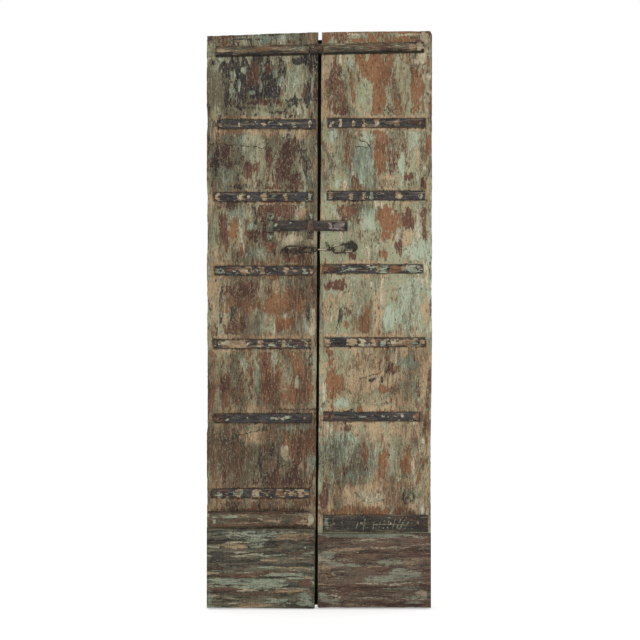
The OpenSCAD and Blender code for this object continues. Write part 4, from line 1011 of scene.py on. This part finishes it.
for k, (node, marks) in enumerate(bead_marks.items()):
    low, high = box_mm(node)
    rise = (high[2] - low[2] - 2 * fillet_half) / (high[0] - low[0])
    run = np.arange(low[0], high[0] + 1.4, 1.4).clip(low[0], high[0])
    middle = low[2] + fillet_half + rise * (run - low[0])
    turn = np.radians(np.linspace(-90, 90, 33))
    flat = np.linspace(-1, 1, 9)
    over_x, over_z = run[:, None] + 0 * turn, middle[:, None] + 12 * np.sin(turn)
    radius = bead_radius * (1 - 0.1 * cloudy(over_x, over_z, 34, 12, 3 + k)
                            - 0.03 * cloudy(over_x, over_z, 5, 5, 9))
    arc_y = fillet_y - radius * np.cos(turn)
    arc_z = middle[:, None] + radius * np.sin(turn)
    chip = 0.9 * cloudy(run, run * 0, 22, 1, 5 + k)[:, None]
    foot_z = np.concatenate([middle[:, None] - fillet_half + chip, middle[:, None] - bead_radius - 0.6], 1)
    head_z = np.concatenate([middle[:, None] + bead_radius + 0.6, middle[:, None] + fillet_half - chip], 1)
    back_z = middle[:, None] + (fillet_half - chip) * flat[::-1]
    z = np.concatenate([foot_z, arc_z, head_z, back_z], 1)
    y = np.concatenate([np.full(foot_z.shape, fillet_y), arc_y, np.full(head_z.shape, fillet_y),
                        np.full(back_z.shape, fillet_y + bead_bedded)], 1)
    x = run[:, None] + 0 * z
    level = z - rise * (x - low[0])
    upright_high = np.array([high[0], 0, low[2] + 2 * fillet_half])
    shown, torn = dressed(x, level, low, upright_high, marks, bead_portions, 2100 + 50 * k, 40, 7)
    # The lower part of the bead and its bottom edge are darkened: painted shadow under the bead.
    underside_shade = ease((middle[:, None] - z).ravel() / fillet_half, 0.6, 0.9)
    low_edge_shade = np.exp(-np.maximum(z - middle[:, None] + fillet_half, 0) / 2.5).ravel()
    piece(node.replace("bead", "half_round"), [(np.stack([x, y, z], -1), False)],
          node.split("_")[0] + "_leaf", bead_paint, [node],
          {**shown, "grime_and_shade": np.maximum(np.maximum(low_edge_shade, 0.35 * torn), 1.2 * underside_shade)})

# ---------------------------------------------------------------------------
# Nails. Forged nails with low, uneven heads, through straps, boards, bands and
# keepers. Each group is one piece, and paint has run over most of the heads.
nail_paint = layered_paint("painted_nail_iron", (paint(44, 40, 37), paint(92, 84, 74)), "z")
rusted_nail = layered_paint("bare_nail_iron", (paint(40, 30, 25), paint(92, 64, 46)), "z", metal=0.3)


def lumps(node):
    """The separate solids of a frame node, each as its points in millimetres."""
    corners, same = np.unique(points_mm(node).round(2), axis=0, return_inverse=True)
    same = same.ravel()
    edges = same[np.array([edge.vertices[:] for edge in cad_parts[node].data.edges])]
    mark = np.arange(len(corners))
    settled = False
    while not settled:
        before = mark.copy()
        lowest = np.minimum(mark[edges[:, 0]], mark[edges[:, 1]])
        np.minimum.at(mark, edges[:, 0], lowest)
        np.minimum.at(mark, edges[:, 1], lowest)
        settled = np.array_equal(before, mark)
    return [corners[mark == k] for k in np.unique(mark)]


def nail_rings(solid, seed):
    """Rings down one nail, from the crown of its head to its point, uneven as forged."""
    low, high = solid.min(0), solid.max(0)
    middle = (low + high) / 2
    away = np.hypot(solid[:, 0] - middle[0], solid[:, 2] - middle[2])
    head = away.max()
    wide = solid[away > head * 0.85, 1]
    front = wide.mean() < middle[1]
    crown, tip = (low[1], high[1]) if front else (high[1], low[1])
    seat = wide.max() if front else wide.min()
    stem = min(2.0, head * 0.5)
    t = np.array([0.0, 0.06, 0.18, 0.38, 0.62, 0.84, 1.0])
    bulge = head * np.array([0.16, 0.42, 0.66, 0.84, 0.95, 1.0, 0.97])
    along = np.concatenate([crown + (seat - crown) * t,
                            [seat + 0.01 * (tip - seat), tip - 0.12 * (tip - seat), tip]])
    radius = np.concatenate([bulge, [stem, stem, 0.4]])
    turn = np.linspace(0, 2 * np.pi, 16, endpoint=False)
    uneven = 1 - 0.16 * cloudy(np.cos(turn) * 4 + seed, np.sin(turn) * 4, 5, 5, seed)
    spread = radius[:, None] * uneven
    x = middle[0] + spread * np.cos(turn)
    z = middle[2] + spread * np.sin(turn)
    dent = 0.12 * (seat - crown) * cloudy(x, z, 3, 3, seed + 1)
    y = along[:, None] + np.where(np.arange(len(along))[:, None] < 6, dent, 0)
    return np.stack([x, y, z], -1)


nail_groups = {
    "left_strap_nails": ("strap_nail_heads_left", "left_leaf", nail_paint, (.1, .3, .06, .1, .2, .1)),
    "right_strap_nails": ("strap_nail_heads_right", "right_leaf", nail_paint, (.1, .3, .06, .1, .2, .1)),
    "left_board_nails": ("board_nail_heads_left", "left_leaf", nail_paint, (.4, .2, .1, .2, .1, .05)),
    "right_board_nails": ("board_nail_heads_right", "right_leaf", nail_paint, (.3, .25, .12, .3, .1, .1)),
    "bolt_keeper_nails": ("keeper_nail_heads", "left_leaf", nail_paint, (.3, .1, 0, .1, .1, 0)),
    "left_band_nails": ("band_nail_heads_left", "left_leaf", rusted_nail, (0, 0, 0, 0, .2, 0)),
    "right_band_nails": ("band_nail_heads_right", "right_leaf", rusted_nail, (0, 0, 0, 0, .2, 0)),
    "right_lap_nails": ("lap_nail_heads", "right_leaf", rusted_nail, (0, 0, 0, 0, .2, 0)),
}
for k, (node, (name, body, finish, portions)) in enumerate(nail_groups.items()):
    skins = [(nail_rings(solid, 11 * j + 97 * k), False) for j, solid in enumerate(lumps(node))]
    x, z = (np.concatenate([rings[..., i].ravel() for rings, _ in skins]) for i in (0, 2))
    shown, torn = dressed(x, z, *box_mm(node), [], portions, 2400 + 60 * k, 12, 12)
    piece(name, skins, body, finish, [node], {**shown, "grime_and_shade": 0.5 * torn})

# ---------------------------------------------------------------------------
# Bolt. A flat iron bar that slides behind two bent straps, its keepers. Hands
# have worn the paint of its right end to a pinkish cream.
handled = {**coats, "cream": (paint(108, 96, 93), paint(176, 162, 155))}
bolt_paint = layered_paint("worn_bolt_paint", (paint(36, 34, 34), paint(76, 71, 68)), "x",
                           metal=0.2, bite=0.5, dirt=0.2, cards=handled)


def drawn_bar(x, z):
    return 0.1 + 0.35 * cloudy(x, z, 40, 22, 107, 3) + 0.2 * cloudy(x, z, 6, 4, 109, 2)


crossbar("bolt_bar", "bolt_flat_bar", "bolt", bolt_paint, 1.3, 0.7, 0.35, drawn_bar, [
    ("maroon", 72, 55, 8, 40, 0, .4), ("cream", 89, 50, 8, 42, 0, 1), ("cream", 80, 46, 4, 30, 0, .55),
    ("mint", 11, 52, 2, 16, 0, .7), ("mint", 29, 76, 1.6, 12, 0, .6),
    # The black at its right end and along its lower edge is painted shadow of the bar.
    ("tan", 15, 16, 2, 8, 0, .6), ("char", 98.4, 50, 1.9, 60, 0, 1), ("char", 50, 3, 52, 7, 0, .9),
    ("tan", 45, 97, 40, 3, 0, .45)], (0, .01, 0, .05, .06, .01), 3000, 16, 8, bedded=0.0)

keeper_paint = {
    "bolt_keeper_outer": layered_paint("outer_keeper_paint", (paint(84, 86, 72), paint(140, 140, 118)), "z",
                                       bite=0.6, dirt=0.5),
    "bolt_keeper_inner": layered_paint("inner_keeper_paint", (paint(58, 44, 42), paint(108, 88, 82)), "z",
                                       bite=0.6, dirt=0.5),
}
keeper_thick = 3.0


def bent_strip(node):
    """Rings along a flat strip bent over the bolt: foot, side, front, side, foot."""
    low, high = box_mm(node)
    bar_low, bar_high = box_mm("bolt_bar")
    mid = keeper_thick / 2
    wall, front = plank_front - mid, low[1] + mid
    play = 0.4 + mid
    stops = np.array([(low[2] + 0.3, wall), (bar_low[2] - play, wall), (bar_low[2] - play, front),
                      (bar_high[2] + play, front), (bar_high[2] + play, wall), (high[2] - 0.3, wall)])
    path, bow = [stops[0]], 1.8
    for before, corner, after in zip(stops, stops[1:], stops[2:]):
        start = corner + (before - corner) / np.linalg.norm(before - corner) * bow
        stop = corner + (after - corner) / np.linalg.norm(after - corner) * bow
        path += [start + (path[-1] - start) * f for f in (0.75, 0.5, 0.25)]
        path += [(1 - t) ** 2 * start + 2 * t * (1 - t) * corner + t * t * stop
                 for t in np.linspace(0, 1, 6)]
    path += [path[-1] + (stops[-1] - path[-1]) * f for f in (0.25, 0.5, 0.75, 1)]
    path = np.array(path)
    ahead = np.gradient(path, axis=0)
    ahead /= np.linalg.norm(ahead, axis=1)[:, None]
    out = np.stack([-ahead[:, 1], ahead[:, 0]], 1)
    half, m = (high[0] - low[0]) / 2, 15
    across = np.concatenate([np.linspace(-1, 1, m), np.linspace(1, -1, m)]) * (half - 0.2)
    lift = np.concatenate([np.full(m, -mid), np.full(m, mid)])
    soft = np.clip((np.abs(across) - half + 1.2) / 1.0, 0, 1) ** 2 * 0.7
    lift = lift * (1 - soft / mid)
    zy = path[:, None, :] + out[:, None, :] * lift[None, :, None]
    narrowed = 1 - 0.04 * cloudy(zy[..., 0], 0 * zy[..., 0], 14, 1, 111)
    x = (low[0] + high[0]) / 2 + across[None, :] * narrowed
    y = np.minimum(zy[..., 1] + 0.3 * cloudy(x, zy[..., 0], 9, 9, 113), plank_front)
    return np.stack([x, np.maximum(y, low[1]), zy[..., 0]], -1)


for k, node in enumerate(keeper_paint):
    rings = bent_strip(node)
    low, high = box_mm(node)
    # On the outer keeper a black spot stands for an empty nail hole: painted shade of a hole that is not
    # modelled.
    hole = ("char", 50, 88, 22, 5, 0, 1) if "outer" in node else ("tan", 50, 10, 20, 5, 0, .6)
    rows = [("tan", 50, 60, 30, 10, 0, .4), ("maroon", 50, 34, 60, 6, 0, .6), ("char", 50, 72, 60, 2, 0, .8),
            ("char", 50, 27, 60, 2, 0, .8), hole]
    shown, torn = dressed(rings[..., 0], rings[..., 2], low, high, rows, (.16, .08, .02, .16, .12, .03),
                          3100 + 60 * k, 7, 14)
    piece(node.replace("keeper", "bent_keeper"), [(rings, False)], "left_leaf",
          keeper_paint[node], [node], {**shown, "grime_and_shade": 0.55 * torn})

# ---------------------------------------------------------------------------
# Door chain. A staple in the left leaf, two welded links, a forged shank with
# an eye at each end, and a long ring that drops over the right leaf's staple.


def chain_iron(name, dark, light, bright):
    """Forged iron, brown-black with rust in its pits, and bright where the rub_and_highlight field says:
    worn where handled, and a painted highlight.
    """
    made, start = empty_material(name)
    place = start.node("ShaderNodeTexCoord", {}, {}, "Object")
    grain, broad, pits = place.noise(420, 4, 0.65), place.noise(90, 3, 0.6), place.noise(900, 2, 0.6)
    rub_and_highlight = (start.field("rub_and_highlight") + grain * 0.7 + broad * 0.5 - 0.6).between(0.42, 0.74)
    colour = (grain * 0.6 + broad * 0.5).between(0.4, 0.72).mix(dark, light)
    colour = broad.between(0.52, 0.7).mix(colour, paint(92, 58, 40))
    colour = rub_and_highlight.mix(colour, bright)
    colour = (pits.between(0.56, 0.68) * 0.7).mix(colour, paint(24, 20, 18))
    height = grain * 0.8 - pits.between(0.54, 0.7) * 0.6
    normal = start.node("ShaderNodeBump", {}, {"Strength": 0.6, "Distance": 0.0006, "Height": height})
    surface = start.node("ShaderNodeBsdfPrincipled", {}, {
        "Base Color": colour, "Metallic": 0.3 + rub_and_highlight * 0.4, "Roughness": 0.72 - rub_and_highlight * 0.28,
        "Normal": normal})
    start.node("ShaderNodeOutputMaterial", {}, {"Surface": surface})
    return made


def forged_rod(path, flat_normal, radius, joined, seed):
    """Rings round a rod that follows a flat path. Its thickness wavers a little."""
    if joined:
        ahead = np.roll(path, -1, 0) - np.roll(path, 1, 0)
    else:
        ahead = np.gradient(path, axis=0)
    ahead /= np.linalg.norm(ahead, axis=1)[:, None]
    aside = np.cross(flat_normal, ahead)
    turn = np.linspace(0, 2 * np.pi, 18, endpoint=False)[None, :, None]
    out = np.cos(turn) * aside[:, None, :] + np.sin(turn) * np.asarray(flat_normal, float)[None, None, :]
    whole = path[:, None, :] + out * np.mean(radius)
    thick = radius * (1 - 0.13 * cloudy(whole[..., 0] + whole[..., 1], whole[..., 2], 6, 6, seed, 3))
    return path[:, None, :] + out * thick[..., None], out


def loop_path(reach, half, count=72):
    """A closed path of two straights and two half rounds, in x and z about its middle."""
    straight = 2 * (reach - half)
    length = 2 * straight + 2 * np.pi * half
    s = np.arange(count) / count * length
    x, z = np.zeros(count), np.zeros(count)
    for k, at in enumerate(s):
        if at < straight:
            x[k], z[k] = at - straight / 2, half
        elif at < straight + np.pi * half:
            angle = (at - straight) / half
            x[k], z[k] = straight / 2 + half * np.sin(angle), half * np.cos(angle)
        elif at < 2 * straight + np.pi * half:
            x[k], z[k] = straight / 2 - (at - straight - np.pi * half), -half
        else:
            angle = (at - 2 * straight - np.pi * half) / half
            x[k], z[k] = -straight / 2 - half * np.sin(angle), -half * np.cos(angle)
    return x, z


def chain_piece(name, skins, outs, body, node, finish, hot):
    """Joins forged rods into one piece, bright on its sides that face the front and up, as a painted
    highlight scaled by hot(x, z), how much handling each place had.
    """
    points = np.concatenate([rings.reshape(-1, 3) for rings, _ in skins])
    out = np.concatenate([o.reshape(-1, 3) for o in outs])
    # Sides that face the front and up get the bright: a painted highlight, together with wear from handling.
    lit_side = ease(-out[:, 1] + 0.5 * out[:, 2], 0.35, 1.0)
    rub_and_highlight = lit_side * hot(points[:, 0], points[:, 2])
    piece(name, skins, body, finish, [node], {"rub_and_highlight": rub_and_highlight})


dark_iron = chain_iron("dark_chain_iron", paint(30, 25, 23), paint(74, 62, 54), paint(150, 132, 116))
staple_iron = chain_iron("staple_iron", paint(26, 27, 26), paint(70, 72, 66), paint(120, 120, 108))
worn_iron = chain_iron("worn_chain_iron", paint(32, 28, 27), paint(92, 82, 76), paint(196, 178, 158))
link_thick, rod_thick, ring_thick = 3.2, 3.0, 3.6
for number, lean, body in ((1, 20, "first_link"), (2, -50, "second_link")):
    low, high = box_mm(f"chain_link_{number}")
    centre, size = (low + high) / 2, (high - low) / 2
    lean = math.radians(lean)
    half = (size[2] - link_thick) / math.cos(lean)
    x, z = loop_path(size[0] - link_thick, half)
    path = centre + np.stack([x, -z * math.sin(lean), z * math.cos(lean)], 1)
    normal = np.array([0, math.cos(lean), math.sin(lean)])
    rings, out = forged_rod(path, normal, link_thick, True, 120 + number)
    chain_piece(f"welded_link_{number}", [(rings, True)], [out], body, f"chain_link_{number}", dark_iron,
                lambda x, z: 0.5 + 0 * x)

low, high = box_mm("chain_shank")
shank_y = box_mm("chain_ring")[0][1] + ring_thick
shank_z = (low[2] + high[2]) / 2
eye_mid, eye_lean = 8.0, math.radians(25)
left_eye, right_eye = low[0] + eye_mid + rod_thick, high[0] - eye_mid - rod_thick
turn = np.linspace(0, 2 * np.pi, 44, endpoint=False)
ring_x, ring_o = eye_mid * np.cos(turn), eye_mid * np.sin(turn)
eye_1 = np.stack([left_eye + ring_x, shank_y - ring_o * math.sin(eye_lean),
                  shank_z + ring_o * math.cos(eye_lean)], 1)
eye_2 = np.stack([right_eye + ring_x, shank_y + ring_o, shank_z + 0 * ring_o], 1)
reach = np.linspace(left_eye + eye_mid - 0.5, right_eye - eye_mid + 0.5, 40)
middle_rod = np.stack([reach, shank_y + 0 * reach, shank_z + 0 * reach], 1)
made = [forged_rod(eye_1, (0, math.cos(eye_lean), math.sin(eye_lean)), rod_thick, True, 131),
        forged_rod(middle_rod, (0, 1, 0), rod_thick + 0.4, False, 133),
        forged_rod(eye_2, (0, 0, 1), rod_thick, True, 137)]
chain_piece("forged_shank", [(made[0][0], True), (made[1][0], False), (made[2][0], True)],
            [m[1] for m in made], "shank", "chain_shank", worn_iron,
            lambda x, z: ease(x, left_eye, 10) * ease(-x, -40, -15))

low, high = box_mm("chain_ring")
centre, size = (low + high) / 2, (high - low) / 2
lean = math.radians(7)
straight = (size[0] - size[2]) / (math.cos(lean) - math.sin(lean))
half = size[2] - ring_thick - straight * math.sin(lean)
x, z = loop_path(straight + half, half, 110)
path = centre + np.stack([x * math.cos(lean) - z * math.sin(lean), 0 * x,
                          x * math.sin(lean) + z * math.cos(lean)], 1)
rings, out = forged_rod(path, (0, 1, 0), ring_thick, True, 139)


def ring_handling(x, z):
    """Hands take the ring by its upper left, and it rubs on its staple at the lower right; the bright there
    is both that wear and a painted highlight.
    """
    upper, lower = ease(z, centre[2], centre[2] + 8), ease(-z, -centre[2], -centre[2] + 8)
    return np.maximum(upper * ease(-x, -90, -60), lower * ease(x, 80, 100) * ease(-x, -122, -110))


chain_piece("long_ring", [(rings, True)], [out], "ring", "chain_ring", worn_iron, ring_handling)

staples = {
    "chain_staple": ("anchor_staple", "left_leaf", rod_thick, 0),
    "catch_staple": ("catch_staple_iron", "right_leaf", 5, 0.26),
}  # each piece's name, its body, its rod's radius and how far its bow is swelled
for k, (node, (name, body, thick, swell)) in enumerate(staples.items()):
    low, high = box_mm(node)
    half = (high[0] - low[0]) / 2 - thick
    bow_y = low[1] + half + thick * (1 + swell)
    turn = np.radians(np.linspace(0, 180, 25))
    legs = np.linspace(high[1] - 0.2, bow_y, 26)
    x = np.concatenate([0 * legs + half, half * np.cos(turn[1:-1]), 0 * legs - half])
    x = x + (low[0] + high[0]) / 2
    y = np.concatenate([legs, bow_y - half * np.sin(turn[1:-1]), legs[::-1]])
    path = np.stack([x, y, 0 * x + (low[2] + high[2]) / 2], 1)
    bowed = 1 + swell * ease(bow_y + 4 - path[:, 1], 0, 6)
    rings, out = forged_rod(path, (0, 0, 1), thick * bowed[:, None], False, 141 + k)
    chain_piece(name, [(rings, False)], [out], body, node, staple_iron, lambda x, z: 0.35 + 0 * x)

# ---------------------------------------------------------------------------
# Hinges. Flat iron bands on the back of the leaves, with rolled eyes that turn
# on hooks driven into the wall. They were never painted and have rusted.
rust, start = empty_material("rusted_hinge_iron")
place = start.node("ShaderNodeTexCoord", {}, {}, "Object")
grain, broad, scale = place.noise(380, 4, 0.65), place.noise(60, 4, 0.6), place.noise(160, 3, 0.6)
colour = (grain * 0.5 + broad * 0.6).between(0.4, 0.7).mix(paint(54, 40, 33), paint(112, 78, 56))
colour = broad.between(0.5, 0.66).mix(colour, paint(126, 76, 44))
colour = (scale.between(0.5, 0.62) * 0.8).mix(colour, paint(44, 38, 36))
normal = start.node("ShaderNodeBump", {}, {"Strength": 0.8, "Distance": 0.001,
                                           "Height": grain * 0.6 + scale.between(0.48, 0.6) * 0.6})
surface = start.node("ShaderNodeBsdfPrincipled", {}, {
    "Base Color": colour, "Metallic": scale.between(0.5, 0.62) * 0.5, "Roughness": 0.86 - grain * 0.2,
    "Normal": normal})
start.node("ShaderNodeOutputMaterial", {}, {"Surface": surface})
for node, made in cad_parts.items():
    if "hinge_band" in node or "hook" in node:
        for slot in made.material_slots:
            slot.material = rust

# ---------------------------------------------------------------------------
# Studio. A white paper floor and surround, a broad lamp from the upper left,
# a weaker one from the right, and a long lens level with the middle.
paper, start = empty_material("white_paper")
seen = start.node("ShaderNodeLightPath", {}, {}, "Is Camera Ray")
lit = start.node("ShaderNodeBsdfDiffuse", {}, {"Color": (0.86, 0.86, 0.85, 1)})
glow = start.node("ShaderNodeEmission", {}, {"Color": (1, 1, 1, 1), "Strength": 0.5})
lifted = start.node("ShaderNodeAddShader", {}, {0: lit, 1: glow})
both = start.node("ShaderNodeMixShader", {}, {0: seen, 1: lit, 2: lifted})
start.node("ShaderNodeOutputMaterial", {}, {"Surface": both})
span = 6.0
floor_mesh = bpy.data.meshes.new("studio_floor")
floor_mesh.from_pydata([(-span, -span, 0), (span, -span, 0), (span, span, 0), (-span, span, 0)], [],
                       [(0, 1, 2, 3)])
floor_mesh.materials.append(paper)
floor = bpy.data.objects.new("studio_floor", floor_mesh)
floor.location.z = -0.002
bpy.context.scene.collection.objects.link(floor)

world = bpy.data.worlds.new("studio")
bpy.context.scene.world = world
world.use_nodes = True
world.node_tree.nodes.clear()
start = Socket(world.node_tree)
path = "ShaderNodeLightPath"
plain = start.node(path, {}, {}, "Is Camera Ray")
mirrored = start.node(path, {}, {}, "Is Glossy Ray")
through = start.node(path, {}, {}, "Is Transmission Ray")
strength = plain.math("MAXIMUM", plain.math("MAXIMUM", plain, mirrored), through) * 0.3 + 0.7
sky = start.node("ShaderNodeBackground", {}, {"Color": (1, 1, 1, 1), "Strength": strength})
start.node("ShaderNodeOutputWorld", {}, {"Surface": sky})


def lamp(name, place, size, watts):
    """A soft square lamp that faces the middle of the leaves."""
    light = bpy.data.lights.new(name, "AREA")
    light.shape, light.size, light.energy = "SQUARE", size, watts
    made = bpy.data.objects.new(name, light)
    made.location = place
    toward = np.array([0, 0, 1.0]) - np.array(place)
    made.rotation_euler = (math.atan2(math.hypot(toward[0], toward[1]), -toward[2]), 0,
                           math.atan2(toward[0], -toward[1]) * -1)
    bpy.context.scene.collection.objects.link(made)


lamp("key_lamp", (-2.6, -3.4, 3.2), 1.6, 280)
lamp("fill_lamp", (3.0, -3.6, 1.6), 2.4, 100)

lens = bpy.data.cameras.new("long_lens")
lens.sensor_width, lens.lens = 36, 96.4
camera = bpy.data.objects.new("long_lens", lens)
camera.location = (0.002, -6.05, 1.010)
camera.rotation_euler = (math.radians(90), 0, 0)
bpy.context.scene.collection.objects.link(camera)
bpy.context.scene.camera = camera
bpy.context.scene.view_settings.view_transform = "Standard"
